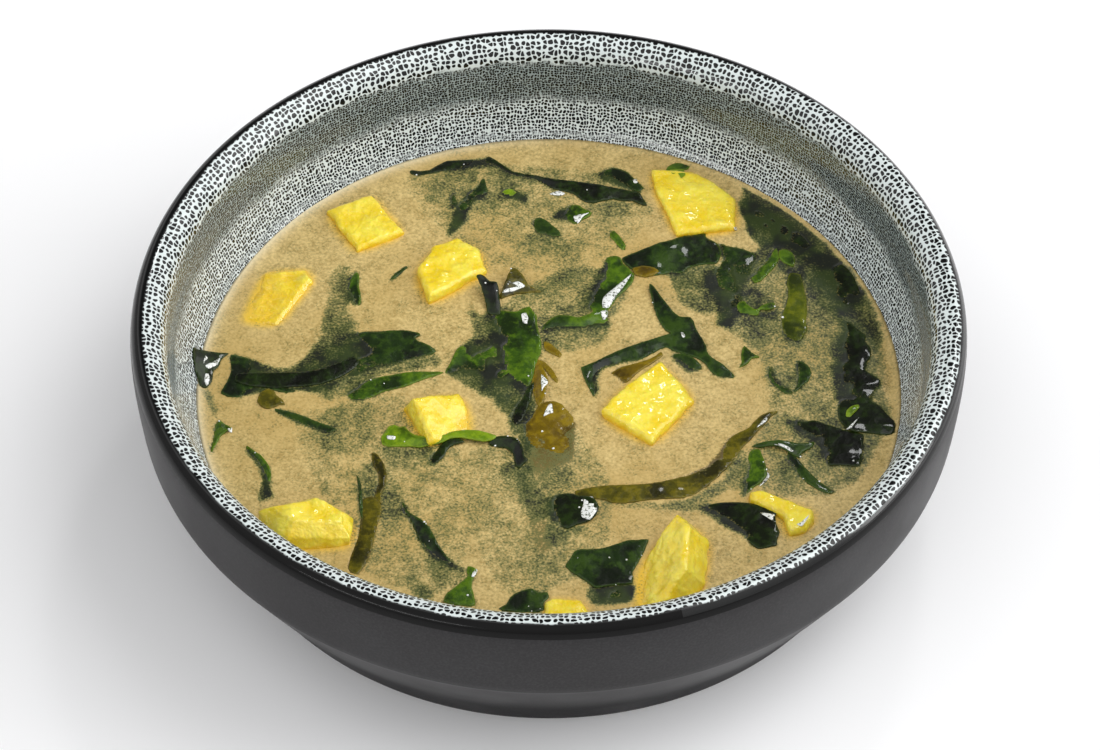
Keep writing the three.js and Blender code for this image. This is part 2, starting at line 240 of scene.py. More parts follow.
# %% [markdown]
# ## The bowl's profile
# A thrown bowl is round, so it is one profile turned round the axis. The outside goes from the foot ring up
# a tapering foot to a crease, then up a nearly upright wall to the rolled lip. The inside flares at the
# shoulder, is steep at the waist, and sweeps in to the floor. The same sizes drive the CAD part, and the
# profile here is drawn with many more points, so that highlights run smoothly over the lip.

# %%
# The profile in millimetres, as radius and height, from under the foot round the lip to the floor inside.
def curve(a, b, c, d, t):
    """The point a share t of the way from b to c, on a smooth curve that also passes a and d."""
    return 0.5 * (2 * b + (c - a) * t + (2 * a - 5 * b + 4 * c - d) * t ** 2
                  + (3 * b - a - 3 * c + d) * t ** 3)


def eased(stations, steps):
    """Points on a smooth curve through the stations, steps to each stretch."""
    rows = np.array(stations, float)
    padded = np.vstack([2 * rows[0] - rows[1], rows, 2 * rows[-1] - rows[-2]])
    out = []
    for i in range(len(rows) - 1):
        out += [curve(*padded[i:i + 4], t) for t in np.arange(steps) / steps]
    return np.array(out + [rows[-1]])


FOOT = [(0, 1.8), (30, 1.8), (58.6, 1.8), (59.6, 1.6), (60.6, 0.5), (61.4, 0.05), (62.2, 0), (66, 0),
        (66.8, 0.15), (67.25, 0.6)]
OUTSIDE = eased([(67.25, 0.6), (71.8, 9), (76.6, 17.4), (80.4, 24.3), (81.25, 25.9), (81.7, 29), (82.3, 36),
                 (82.45, 40.8), (82.2, 43.2), (81.5, 44.55), (80.5, 45.2), (79.6, 45.2), (78.8, 44.9)], 6)
INSIDE = eased([(78.8, 44.9), (78.1, 44.6), (77.2, 44.0), (76.3, 43.0), (75.5, 41.1), (74.85, 37),
                (74.4, 32), (72.6, 27), (70, 22.5), (62, 12), (50, 6.5)], 8)
FLOOR = [(35, 6.5), (0, 6.5)]
profile = np.array([*FOOT[:-1], *OUTSIDE[:-1], *INSIDE, *FLOOR])
lengths = np.concatenate([[0], np.cumsum(np.hypot(*np.diff(profile, axis=0).T))])
lip_top = lengths[np.argmax(profile[:, 1])]
print("profile points:", len(profile), "highest:", profile[:, 1].max(), "widest:", profile[:, 0].max())

# %% [markdown]
# One vertex is extruded from point to point down the profile, and the line is then spun round the axis. A
# lathe modifier would do the same; spinning leaves a plain mesh straight away. The starting line is on the
# near side, so the seam of the pattern lies there, on the part of the wall that faces away.

# %%
# Extrude the profile, spin it, and close it.
bpy.ops.mesh.primitive_plane_add(size=MM)
bowl = bpy.context.object
bowl.name = "bowl_stoneware"
bpy.ops.object.mode_set(mode="EDIT")
bpy.ops.mesh.merge(type="CENTER")
bpy.ops.transform.translate(value=(0, -profile[0][0] * MM, profile[0][1] * MM))
for (r0, z0), (r1, z1) in zip(profile[:-1], profile[1:]):
    bpy.ops.mesh.extrude_region_move(TRANSFORM_OT_translate={"value": (0, (r0 - r1) * MM, (z1 - z0) * MM)})
bpy.ops.mesh.select_all(action="SELECT")
bpy.ops.mesh.spin(steps=224, angle=math.tau, center=(0, 0, 0), axis=(0, 0, 1))
bpy.ops.mesh.select_all(action="SELECT")
bpy.ops.mesh.remove_doubles(threshold=0.004 * MM)
bpy.ops.mesh.normals_make_consistent(inside=False)
bpy.ops.object.mode_set(mode="OBJECT")
bpy.ops.object.shade_smooth()
print("bowl:", len(bowl.data.polygons), "faces")

# %% [markdown]
# The glaze pattern needs a flat map of the wall in real millimetres: round the bowl one way, and along the
# profile the other, measured from the top of the lip. A generated map would stretch; the profile's own
# length doesn't.

# %%
# Lay out the glaze map: across is millimetres round the bowl, up is millimetres from the lip's top. Round the
# bowl the millimetres are true at the map's radius.
MAP_RADIUS = 76


def glaze_map(obj):
    """Writes the UV layer Glaze and the vertex number 'down', millimetres from the lip's top."""
    mm = points(obj)
    ring = np.stack([np.hypot(mm[:, 0], mm[:, 1]), mm[:, 2]], axis=1)
    nearest = np.argmin(((ring[:, None] - profile[None]) ** 2).sum(2), axis=1)
    down = lengths[nearest] - lip_top
    around = np.arctan2(mm[:, 0], mm[:, 1]) * MAP_RADIUS
    corners = np.zeros(len(obj.data.loops), int)
    obj.data.loops.foreach_get("vertex_index", corners)
    across = around[corners]
    for face in obj.data.polygons:
        span = slice(face.loop_start, face.loop_start + face.loop_total)
        if across[span].max() - across[span].min() > MAP_RADIUS * math.pi / 2:
            across[span][across[span] < 0] += math.tau * MAP_RADIUS
    layer = obj.data.uv_layers.new(name="Glaze")
    layer.data.foreach_set("uv", np.stack([across, down[corners]], axis=1).astype(np.float32).ravel())
    store(obj, "down", down)
    return down


down = glaze_map(bowl)
print("glaze runs from", round(down.min(), 1), "to", round(down.max(), 1), "mm")

# %% [markdown]
# ## The dotted glaze
# White glaze over black crawls while it melts, and draws back into a net with black cells. Cells are
# largest on the lip and shoulder, about 1.1 mm, and finest on the steep waist, where the glaze ran thin, so
# the waist looks greyer. Over the outer edge of the lip the white gives out and the black glaze stands
# alone. The net is a cell texture: a cell is black inside, where it is far from its edges, and each cell
# has its own size.

# %%
# Net and dots at one cell size, and the four bands of them.
COARSE, FINE, MIDDLING = 1.12, 0.60, 0.76
WAIST, BELLY, SOUP = (6.4, 7.6), (14.5, 17.5), (23.0, 25.0)


def dots(material, where, pitch, net, roundness):
    """1 inside a dot and 0 on the net. Cells are pitch millimetres wide, and the net about net of that."""
    cells = {"Vector": where, "Scale": 1 / pitch, "Randomness": 0.46}
    edge = add(material, "TexVoronoi", cells, voronoi_dimensions="2D", feature="DISTANCE_TO_EDGE")
    near = add(material, "TexVoronoi", cells, voronoi_dimensions="2D", feature="F1")
    own = add(material, "SeparateColor", {"Color": near.outputs["Color"]}).outputs[0]
    inside = between(material, edge.outputs["Distance"], net - 0.03, net + 0.03)
    far = near.outputs["Distance"]
    size = maths(material, "SUBTRACT", far, maths(material, "MULTIPLY", own, 0.13))
    round_off = between(material, size, roundness - 0.04, roundness + 0.04, 1.0, 0.0)
    return maths(material, "MULTIPLY", inside, round_off)


def crawled_glaze():
    """Stoneware with a white glaze crawled into a net over black, fired glossy."""
    glaze, shader = new_material("Crawled white glaze over black, fired glossy")
    flat = add(glaze, "UVMap", uv_map="Glaze").outputs["UV"]
    stir = add(glaze, "TexNoise", {"Vector": flat, "Scale": 0.45, "Detail": 1.0}, noise_dimensions="2D")
    drift = add(glaze, "VectorMath", {0: stir.outputs["Color"], 1: (0.5, 0.5, 0.5)}, operation="SUBTRACT")
    push = add(glaze, "VectorMath", {0: drift.outputs[0], "Scale": 1.1}, operation="SCALE").outputs[0]
    where = add(glaze, "VectorMath", {0: flat, 1: push}, operation="ADD").outputs[0]
    from_lip = add(glaze, "SeparateXYZ", {0: flat}).outputs[1]
    wander = add(glaze, "TexNoise", {"Vector": flat, "Scale": 0.16, "Detail": 2.0}, noise_dimensions="2D")
    depth = maths(glaze, "MULTIPLY_ADD", wander.outputs["Fac"], 3.0, maths(glaze, "SUBTRACT", from_lip, 1.5))
    coarse = dots(glaze, where, COARSE, 0.085, 0.335)
    fine = dots(glaze, where, FINE, 0.06, 0.36)
    middling = dots(glaze, where, MIDDLING, 0.08, 0.345)
    to_waist = between(glaze, depth, *WAIST)
    to_belly = between(glaze, depth, *BELLY)
    to_soup = between(glaze, depth, *SOUP)
    upper = add(glaze, "Mix", {0: to_waist, 2: coarse, 3: fine}).outputs[0]
    lower = add(glaze, "Mix", {0: to_soup, 2: middling, 3: fine}).outputs[0]
    dark = add(glaze, "Mix", {0: to_belly, 2: upper, 3: lower}).outputs[0]
    # The white gives out over the lip's outer edge: sooner at the back, later on the right.
    across = add(glaze, "SeparateXYZ", {0: flat}).outputs[0]
    to_front = between(glaze, maths(glaze, "ABSOLUTE", across), 90, 210, -0.75, 0.25)
    kept = maths(glaze, "ADD", from_lip, to_front)
    kept = maths(glaze, "ADD", kept, between(glaze, across, 20, 90, 0.0, 1.3))
    kept = maths(glaze, "SUBTRACT", kept, between(glaze, across, 150, 225, 0.0, 1.3))
    kept = maths(glaze, "MULTIPLY_ADD", wander.outputs["Fac"], 0.8, kept)
    bare = between(glaze, kept, -0.10, 0.30, 1.0, 0.0)
    black = maths(glaze, "MAXIMUM", dark, bare)
    thin = maths(glaze, "SUBTRACT", to_waist, to_belly, clamp=True)
    white = blend(glaze, thin, "D8E1E0", "98A4A4")
    feed(glaze, shader, Base_Color=blend(glaze, black, white, "040505"),
         Roughness=0.24, Specular_IOR_Level=0.3,
         Normal=bumped(glaze, maths(glaze, "SUBTRACT", 1.0, black), 0.05, 0.35), Coat_Weight=0.35,
         Coat_Roughness=0.08)
    return glaze


glaze = crawled_glaze()
print("material:", glaze.name)

# %% [markdown]
# Outside, below the lip, the same clay carries a matte charcoal slip with a faint grain, and the foot ring
# is wiped bare so that it doesn't stick to the kiln shelf. Each finish gets its own faces of the one bowl.

# %%
# The black lip edge, the charcoal wall and the bare foot.
def black_glaze():
    """Gloss black glaze, thick over the edge of the lip."""
    black, shader = new_material("Gloss black glaze on the lip's edge")
    where = own_place(black)
    feed(black, shader, Base_Color=blend(black, grain(black, where, 9, 2), "050505", "0B0A0A"),
         Roughness=0.2, Specular_IOR_Level=0.12, Coat_Weight=0.1, Coat_Roughness=0.06,
         Normal=bumped(black, grain(black, where, 3.5, 2), 0.12, 0.35))
    return black


def charcoal_slip():
    """Matte charcoal slip with a fine grain, slightly burnished by handling, with shade painted in low on the
    wall.
    """
    slip, shader = new_material("Matte charcoal slip, smooth but not glossy")
    where = own_place(slip)
    soft = grain(slip, where, 22, 3)
    fine = grain(slip, where, 0.5, 2)
    tone = blend(slip, between(slip, soft, 0.3, 0.7), "151416", "1B191A")
    height = millimetres(slip, where, 2)
    # Painted shade: from about 19 mm down to 10 mm the slip is painted darker towards the foot.
    tone = blend(slip, between(slip, height, 10.0, 19.0), "0F0E10", tone)
    feed(slip, shader, Base_Color=blend(slip, between(slip, fine, 0.35, 0.75, 0, 0.3), tone, "3A3839"),
         Roughness=between(slip, soft, 0.3, 0.7, 0.40, 0.50), Normal=bumped(slip, fine, 0.05, 0.25),
         Specular_IOR_Level=between(slip, height, 8.0, 20.0, 0.06, 0.3))
    return slip


def bare_clay():
    """Unglazed stoneware clay, ground flat on the foot."""
    clay, shader = new_material("Bare stoneware clay, wiped and ground")
    where = own_place(clay)
    feed(clay, shader, Base_Color=blend(clay, grain(clay, where, 0.7, 3), "5B534C", "776C61"), Roughness=0.85,
         Normal=bumped(clay, grain(clay, where, 0.4, 3), 0.1, 0.5))
    return clay


bowl.data.materials.clear()
for finish in (glaze, black_glaze(), charcoal_slip(), bare_clay()):
    bowl.data.materials.append(finish)
mm = points(bowl)
EDGE_OF_WHITE, EDGE_OF_GLOSS, MORE_ON_THE_RIGHT = -0.9, -3.7, 1.4
GROUND_FLAT = 0.12
for face in bowl.data.polygons:
    corners = list(face.vertices)
    middle = down[corners].mean()
    low = mm[corners, 2].mean()
    last_white = EDGE_OF_WHITE - (MORE_ON_THE_RIGHT if mm[corners, 0].mean() > 25 else 0)
    outside = 2 if low > GROUND_FLAT else 3
    face.material_index = 0 if middle > last_white else 1 if middle > EDGE_OF_GLOSS else outside
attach(bowl, "root")
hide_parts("bowl")
print("faces by finish:", [sum(f.material_index == i for f in bowl.data.polygons) for i in range(4)])

# %% [markdown]
# ## The tofu
# Egg tofu is cut with a knife from a soft yellow block: flat faces, edges that wear round at once, and a
# wet, slightly torn skin. The CAD blocks give the cut shape. Each is copied, welded, remeshed into small
# even faces and smoothed a little, which rounds the edges as wear does, and then pushed about by noise for
# the torn skin.

# %%
# The blocks, from their CAD nodes.
def copy_of(node, name):
    """A copy of a CAD node with its loose triangles welded."""
    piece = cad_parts[node].copy()
    piece.data = piece.data.copy()
    piece.name = name
    piece.parent = None
    for key in list(piece.keys()):
        del piece[key]
    bpy.context.scene.collection.objects.link(piece)
    activate(piece)
    bpy.ops.object.mode_set(mode="EDIT")
    bpy.ops.mesh.select_all(action="SELECT")
    bpy.ops.mesh.remove_doubles(threshold=0.01 * MM)
    bpy.ops.mesh.tris_convert_to_quads()
    bpy.ops.object.mode_set(mode="OBJECT")
    return piece


def tofu_skin():
    """Silken egg tofu, knife cut and wet: yellow, slightly see-through, with fine pores."""
    tofu, shader = new_material("Silken egg tofu, knife cut and wet")
    where = own_place(tofu)
    cloud = grain(tofu, where, 4.5, 3)
    pores = grain(tofu, where, 0.55, 3, 0.6)
    wet = between(tofu, millimetres(tofu, where, 2), LEVEL + 0.1, LEVEL + 1.2, 1.0, 0.0)
    body = blend(tofu, between(tofu, cloud, 0.32, 0.7), "F4D40E", "FDE94C")
    sides = blend(tofu, maths(tofu, "MULTIPLY", wet, 0.6), body, "ECB40E")
    skin = blend(tofu, between(tofu, pores, 0.5, 0.8, 0, 0.35), sides, "FFF2A8")
    relief = maths(tofu, "MULTIPLY_ADD", pores, 0.3, maths(tofu, "MULTIPLY", cloud, 3.0))
    feed(tofu, shader, Base_Color=skin, Roughness=0.34, Subsurface_Weight=0.25, Subsurface_Scale=0.6 * MM,
         Coat_Weight=0.8, Coat_Roughness=0.07, Specular_IOR_Level=0.4,
         Normal=bumped(tofu, relief, 0.7, 0.7))
    shader.inputs["Subsurface Radius"].default_value = (1.0, 0.7, 0.2)
    return tofu


tofu_finish = tofu_skin()
tofu_pieces = []
for number, node in enumerate(sorted(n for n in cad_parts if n.startswith("tofu"))):
    block = copy_of(node, node + "_cut")
    apply_modifier(block, "REMESH", mode="VOXEL", voxel_size=0.34 * MM)
    apply_modifier(block, "SMOOTH", factor=0.5, iterations=3)
    mm = points(block)
    normals = np.array([v.normal for v in block.data.vertices])
    torn = 0.34 * rough(mm, 3.4, number) + 0.15 * rough(mm, 1.2, number + 40)
    put(block, mm + normals * (torn - 0.02)[:, None])
    activate(block)
    bpy.ops.object.shade_smooth()
    finish_piece(block, tofu_finish, "egg_tofu", node)
    tofu_pieces.append(block)
print("tofu blocks:", len(tofu_pieces), "faces:", sum(len(t.data.polygons) for t in tofu_pieces))

# %% [markdown]
# ## The wakame
# Softened wakame is a thin, slippery leaf. It lies on the broth with one edge standing just clear of it,
# sharp and wet, and the other sloping down into it, where it fades. So a leaf is given by its outline, and
# each point of the outline by its height over the broth: above nought it shows crisply, and below nought it
# is drowned. The CAD leaves are plain slabs in the same places. An outline could be filled as one large
# face, but it could not then be rippled, so each leaf starts as a fine grid, is trimmed to its outline, and
# is bent to its heights.

# %%
# Outlines. Each is a text of stations: across, away, and height over the broth, in millimetres. A height
# holds until the next one is given. The first word is the leaf's shade; a leaf can have two sheets.
LEAVES = {
    "back": ("dark",
        """-28.9 61.9 .3, -27 61.7, -25 62, -23.5 63.2, -21.5 64.6 .4, -18 65, -16 65.1 .2, -14.5 65 -.1,
        -12.6 66 .3, -11 64.8, -9 62.9, -7.4 61.5, -5 60.8 .4, -2 60.2 .5, 0 59.5 .6, 3 59 .7, 7 58.3 .8,
        10 57.7, 14 56.6, 17 55.8 .7, 18.9 55.2, 19.6 53.6 .6, 20.5 51.6 .4, 19 51.9, 17.5 52.9, 15.5 52.8 .3,
        13.5 53.4, 11 52.8 .4, 9.5 52.2 .3, 7.5 52.6, 6.2 53.8, 5.2 55 .4, 3 55.8 .3, 1 56.4 .2, -2.6 58.9 0,
        -6 59.4 -.3, -9 60 -.4, -11 61.6, -13.5 62.6 -.5, -15.6 62.6 .1, -18 62, -21 61.8, -24 61.2 .2,
        -27 60.4, -28.9 60.9 .3"""),
    "back_stem": ("slate",
        """-14 59.2 .3, -13.4 59.2, -13 57, -12.8 55.6 .2, -13.6 54.2 0, -15 53, -16 51.5 .1, -17 49,
        -17.4 46.6, -18.6 44.6, -21 42, -20.6 44.4, -20.2 47, -19.6 49.4, -18.9 51.6, -17.6 53.8, -16.4 55.6,
        -14.8 57 .2""",
        """-20.3 55.8 .1, -19.4 53.6 .2, -19 51.6 .1, -19.8 50.4, -20.6 52"""),
    "leaf_left": ("green",
        """-39.6 32.4 .1, -38.9 31 .4, -38.8 28, -38.4 26, -38.4 23.4 .3, -39 22.4 0, -40.6 23 -.2, -41.2 25,
        -40.9 27.4 .1, -40.9 30"""),
    "left": ("slate",
        """-64.2 8.8 .2, -62 8.4, -60 7.6 .1, -57.4 6.2 -.2, -54.6 5.2 -.3, -52 5.4, -50 7 -.2, -48.4 9.2,
        -47 12 -.3, -45.4 14.6 -.4, -42.4 15.2 -.5, -39.6 14.8 -.1, -37.6 15.2 .3, -34 15.4 .4, -31 15.7 .5,
        -28.6 15.6, -26.4 15, -26 14.4, -27 13.6, -26.2 12.6, -24.6 11.8, -23.4 10.8 .4, -22.8 9.8 .3,
        -23.8 9 .2, -26 8.2 .1, -29 7, -32 6, -35 5, -38 3.6, -41 2 0, -43.6 -.6 -.1, -46 -1.6 -.2, -50 -1 .1,
        -52.6 -1.6 .2, -55 -.8, -58.6 -1.8 0, -61 -2.6 .1, -63.4 -2.8 .2, -65.6 -1.6 .3, -64.6 1.4,
        -63.8 4.6"""),
    "left_lower": ("green",
        """-21.2 4 .3, -23.6 4.2, -26 4.2 .4, -28.6 4, -31.2 3.4, -33.6 2.8 .3, -35.6 2 .2, -37.6 .4 .1,
        -39.6 -1.2, -40.4 -2.6, -39 -4, -37 -3.6, -35 -2.4 .2, -33 -1.2, -30.6 -.4 .3, -28.4 .4, -26.6 1.4,
        -24.6 2.4, -22.6 3.2"""),
    "middle": ("green",
        """-9.6 21.2 .3, -8 20.9 .4, -6.4 21, -5.2 21.8 .5, -4 22.3 .6, -3.2 21, -2.5 19.8 .5, -2.3 17.4 .4,
        -2 15.2, -1.6 13 .3, -1.5 10 .2, -2.2 7.6 .3, -2.8 5, -3.2 2.4 .2, -4.2 -.4 .1, -5.6 -2 -.2,
        -8 -1 -.3, -10.4 -2.6 -.1, -12.2 -3, -14 -1.8, -15.2 0, -17 1.4 -.3, -19 2.4, -20.8 4 .2, -20 6 .4,
        -19.3 8.4, -18.6 10.2 .3, -17.6 11.4 .2, -16.2 12.4 -.3, -14.4 14.6 -.5, -13.8 17.4 -.6,
        -13.8 19.6 -.5, -12.4 20.8 .1"""),
    "upright": ("dark",
        """-14.7 31 2.2, -14 31.4, -13.2 30.9 2, -12 29.5 1.8, -10.6 29.1, -10.2 27 1.4, -10 24.5 1,
        -9.8 22.2 .6, -10 20 .3, -12.4 20.4, -12.8 23 .7, -13.4 26 1.2, -14 28.6 1.7"""),
    "curl": ("brown",
        """-7.5 33.4 1.2, -6.4 32.9, -5 30.8 1, -4.2 28.6 .7, -2.6 27.2 .3, -1 26.4 .1, -4 26.2 .2,
        -7 25.8 .3, -9.6 24.6, -10.2 25.2, -9.6 26.6 .7, -9 29 1.1, -8.2 31.6 1.3"""),
    "bend": ("green",
        """13.6 36.8 .4, 14.8 36.2, 15.3 34.6, 16.6 33 .5, 17.6 31.2, 17.2 29.2 .4, 15.8 27.2 .3, 14.4 25.4,
        13 23, 12 21, 11.9 19 .2, 12.4 17.2 0, 11.4 16.2 -.3, 8 15.2 -.6, 4 14.6 -.7, .5 14.2 -.6,
        -1.8 14.4 -.1, -.9 17.2 .3, .6 19.1 .5, 2 19.9, 4 19.8, 6.2 19.3, 8 20.1, 9 20.9, 8.4 22.4 .1,
        8.1 25 -.1, 8.8 28, 9.8 31, 11.2 34 0, 12 36.2 .2"""),
    "pod": ("slate",
        """15.2 36.2 .3, 17.4 37.5 .4, 20 39 .5, 23 40.6 .6, 25.4 41.4, 27 42.2, 30 42.8 .5, 32.3 43.2,
        32.6 42 .4, 33.8 41.2, 35 40 .3, 35.6 38, 35.2 36 .4, 34.4 34.7, 32.6 34.5 .3, 30.6 34.1,
        28.6 33.3 .2, 27.4 32.1, 25 31.8 .1, 22.4 31.4 .3, 20.4 31.2 .4, 18.4 31.6, 17.2 32.8, 16.4 33.8 .3,
        15.4 35""",
        """35.2 40.4 .1, 37 39.6 .2, 38.6 39.2, 40.6 38.4, 42.4 37.2, 42.6 35.6 .1, 41.8 33, 41.2 31,
        40.4 28.6 0, 39.6 26, 38.8 24.4, 37.8 25.4 -.1, 37 28.2 0, 36 31.2 .1, 35.2 33.6 .2, 36 36 .1,
        35.6 38"""),
    "fork": ("slate",
        """20.6 28.8 .6, 21.5 28, 22.8 25.4, 24.2 22.8, 25.4 20.8 .5, 26.6 19.5, 28.6 19.4 .4, 29.4 18.2 .5,
        30 15.6, 31 13.4, 31.8 11, 32.2 9, 33.4 7.6, 35.2 6 .4, 36.8 3.8 .3, 37.4 2.6 .2, 36 2.2 .1, 34.4 2.4,
        32.6 4.2 .2, 31.4 6.6 .4, 29.8 8, 27.6 9 .3, 25.6 9.8 .2, 23.6 10.9 .3, 21.4 9.6, 19 7.8 .2,
        16 6.8 .1, 13 5.7 0, 10.6 4.2 -.1, 9.6 1.8, 10 -.8 0, 9.2 -2.6 .1, 8.4 -1 .3, 7.5 1.4 .4, 6.9 3.4,
        6.5 5.2, 8 6.2 .5, 10 7.4, 12.6 9.1, 15 10.5 .6, 18.4 12.1, 22 13.7, 24.7 14.9 .5, 23.7 15.6 .3,
        23 16.8 .2, 22.2 19 .3, 21.4 22 .4, 21 24.5 .5, 20.6 27 .6""",
        """25 8.8 .2, 27 9.2 .4, 29 8.1 .5, 30.6 6.2 .4, 30.8 5 .2, 29.4 4.3 0, 28.2 3.8 -.1, 26.6 5.4,
        25.3 7 0"""),
    "wall_back": ("dark",
        """40.2 53.6 -.2, 42 53 -.1, 44 51.8 0, 46 50 .1, 48 47.6, 50 45.4, 52 43.4, 53.6 41.2, 55 38.8,
        57 36.8, 59.4 35.2, 61.4 33 .2, 62.4 31, 63.2 28, 63.8 25.4 .1, 63.4 22.8 0, 61.4 20.4, 59.6 19.4 -.1,
        57.8 21.2, 56.8 24.4, 55.8 27, 54.4 29.6 0, 53 32.6 -.1, 52 35.6 -.2, 50.8 38.6 -.1, 48.6 40 .1,
        46.6 39.2 0, 44.4 39.6 -.3, 42.2 41.2, 41 43.6 0, 41 46.6 .1, 40 49 0, 39.6 51.6 -.1"""),
    "fin": ("green",
        """47 39 .2, 47.4 36 .3, 46.4 33.6, 45 31.6, 43.6 29.8, 42.2 29.2, 41.5 30.6 .1, 42.8 32.4, 44.4 34.6,
        45.6 37""",
        """47.6 38.4 .3, 49 38.6, 50.2 37.6 .4, 50.7 35.6, 50.2 33.8, 49 34.4 .3, 48 35.2, 47.4 36.6"""),
    "blade_right": ("olive",
        """49.6 31.8 .2, 51.6 31.4, 52.2 28 .3, 52.6 24, 52.6 20.6, 52.2 18, 52.5 16.2, 51.6 14.2 .2,
        50.6 12.4 .1, 48.6 12.4, 47.8 14, 47.4 17 .2, 47.6 20.2, 48.6 23.4, 49 26.6, 48.8 29.4"""),
    "wall_right": ("dark",
        """59.4 18.8, 61.2 17.6 .2, 62.8 15.8 .3, 64.1 14.2, 64.1 12.4, 65 10.6, 64.9 8.2, 64 6.6 .2,
        63.7 4.6, 64.8 3.4, 66.4 2, 66.6 .4 .1, 65.8 -1, 64.8 -2.4, 64.3 -3.8 .2, 66 -5.2, 67.4 -7.4,
        68.8 -9.4 .3, 69.2 -11.2, 68.6 -12.6 .2, 66.8 -13, 64.6 -12.6 .3, 62.6 -12.2 .4, 61 -12 .5,
        59.6 -11.4, 58 -9.4 .4, 57.6 -7 .2, 57.8 -4.4 .1, 57.4 -1.6 0, 56.8 1.4 -.1, 56.9 4.4, 57.5 7.2,
        56.8 10 -.2, 57.6 12.6, 59.2 15"""),
    "sheet": ("dark",
        """47.2 -8.8 -.2, 49 -9.2 .1, 51 -9.4 .2, 52.8 -9.1 .3, 54.6 -9.8, 56.8 -10.8, 58.6 -11.6, 60.6 -12.2,
        62.4 -12.8, 62.4 -14.6, 62 -17 .2, 61.8 -19.4, 61.2 -21.2, 59.4 -21.2, 57.4 -21, 55.4 -21,
        54.8 -19.4 .1, 54 -17.6, 53.2 -15.4, 51.4 -13.8 -.1, 49.6 -13 -.2, 48 -11.4 -.3"""),
    "arch": ("slate",
        """40.2 -15.9 .4, 42 -15 .7, 43.8 -14.5 .9, 45.8 -14.3, 47.4 -14.6 .8, 49.2 -15.2 .7, 51.2 -15.2 .6,
        52.6 -14.8 .5, 52.4 -15.8, 51 -17, 50 -17.8, 49.6 -19 .4, 48.4 -18.4 .5, 46.8 -16.9 .7, 45.2 -15.9,
        43.2 -16 .6, 41.6 -16.4 .4"""),
    "drop": ("green",
        """40.4 -17 .4, 41.6 -16.8 .5, 42.3 -19 .6, 42.8 -21.6 .7, 42.9 -23.6 .6, 41.6 -25.6 .4,
        40.2 -26.8 .3, 38.8 -28.6 .1, 38.2 -30 0, 37.6 -28.6 -.1, 38.2 -26 0, 39 -23.6 .1, 39.8 -21.6 .2,
        39.4 -19.4, 39.6 -17.8 .3"""),
    "sprig": ("slate",
        """47.4 -17.4 .4, 49 -19.2, 50.6 -21.8 .3, 52.4 -24.4, 54.4 -26.6 .2, 55.8 -28.2, 54.6 -28.4,
        52.6 -27.2 .3, 50.8 -25.6, 49.4 -23.6 .2, 48.4 -21.6 .1, 47.2 -19.6"""),
    "strand": ("brown",
        """45.6 -6.6 .4, 44 -6.8 .5, 42.2 -7.8, 40.8 -9.4, 39.6 -11.2 .4, 37.6 -12.4 .3, 36 -13.8 .2,
        34.6 -16 .1, 33.4 -18.4, 31.6 -20.8, 29.8 -22.4, 27.4 -23.8 .2, 24.6 -24.6, 22 -25.4 .3, 18.6 -26 .4,
        14 -26.2 .5, 10.6 -26.4, 7.6 -27 .4, 5.2 -27.8 .3, 5.4 -29.2, 6.6 -29.8, 8.4 -29.6, 10.6 -30,
        12.6 -30.8, 15 -30.9, 18 -30.4, 20.6 -30, 23.6 -29.7, 26.2 -29.6 .2, 28.4 -28.8, 30.6 -27, 33 -24.4,
        35.4 -21.4, 36.8 -19, 38.2 -16.6 .3, 39.8 -14.4 .4, 41.4 -12 .5, 43 -9.8, 44.4 -7.9 .4"""),
    "knot": ("dark",
        """.4 -29.6, 2.6 -28.6 .3, 4.6 -28.4 .5, 6 -29 .8, 7.6 -29 1.1, 9 -29.9 1.2, 9.8 -31.8 1.1,
        9.4 -33.6 .9, 8.2 -35.2 .7, 7 -36 .5, 5.4 -36.6 .3, 3.6 -37.6 .2, 2 -36.6 .1, .4 -35.8 0, -.4 -33.6,
        -.2 -31.4"""),
    "strip": ("amber",
        """-2.2 -5.4 .4, -.8 -4.2 .5, .8 -3.8 .6, 2.6 -4.6, 3.6 -6.2 .5, 4.8 -8.2 .2, 5 -11 .1, 5.2 -14,
        5 -16.8, 4.6 -19.4 0, 2.4 -20.8, .4 -22 -.1, -2 -23 -.2, -4 -22, -3.8 -19.4 0, -4.8 -17,
        -4.8 -13.6 .1, -4.8 -10.6, -3.4 -8.4 .3""",
        """-2.6 7 .2, -1.6 6.6 .5, -.7 4 .7, -.1 1.8 .8, -.6 -1, -1 -3.8 .6, -2.2 -5.2 .4, -2.9 -2.4 .3,
        -3.4 .6 .2, -3.2 3.4"""),
    "ruffle": ("lime",
        """-31.8 -10.6 .5, -30.8 -10.2 .6, -29.6 -10.8 .7, -28.6 -10.6, -27.8 -11.8 .8, -26.6 -12.8 .9,
        -24.6 -13.4 1, -22.4 -13.2, -20.6 -12.8, -19 -12, -16.6 -11.6, -14 -11.7, -12 -12.4 .9, -10.4 -13.2,
        -11 -14.2 .8, -13 -14.6, -15.4 -14 .9, -17.4 -13.6, -19.4 -13.8, -21 -14.8 .8, -23 -15.6 .6,
        -25.4 -16.2 .5, -27.4 -16 .4, -29.4 -16, -31.6 -16 .3, -33 -15.4, -33.2 -13.4 .4, -32.4 -12 .5"""),
    "hook": ("dark",
        """-12 -14.6 .5, -10.4 -13.4 .9, -8.6 -13.2 1.1, -6.8 -13.6, -5.8 -14.6, -5.1 -16.4 1, -4.8 -18.4 .8,
        -4.2 -19.4 .6, -5 -20.8 .4, -5.8 -21.8 .2, -6.7 -21, -6.9 -19 .3, -7.3 -17.5 .4, -8.4 -16.5,
        -10 -16.2 .3, -11.6 -15.8 .2""",
        """-21 -15 .5, -19.6 -14 .7, -17.8 -13.8, -16.8 -14.8 .6, -18.6 -15.5 .5, -20 -16.7 .4,
        -20.6 -18.4 .3, -21.8 -20 .2, -23.2 -21.2 .1, -23.6 -20, -22.6 -18 .2, -21.8 -16.4 .3"""),
    "front_left": ("slate",
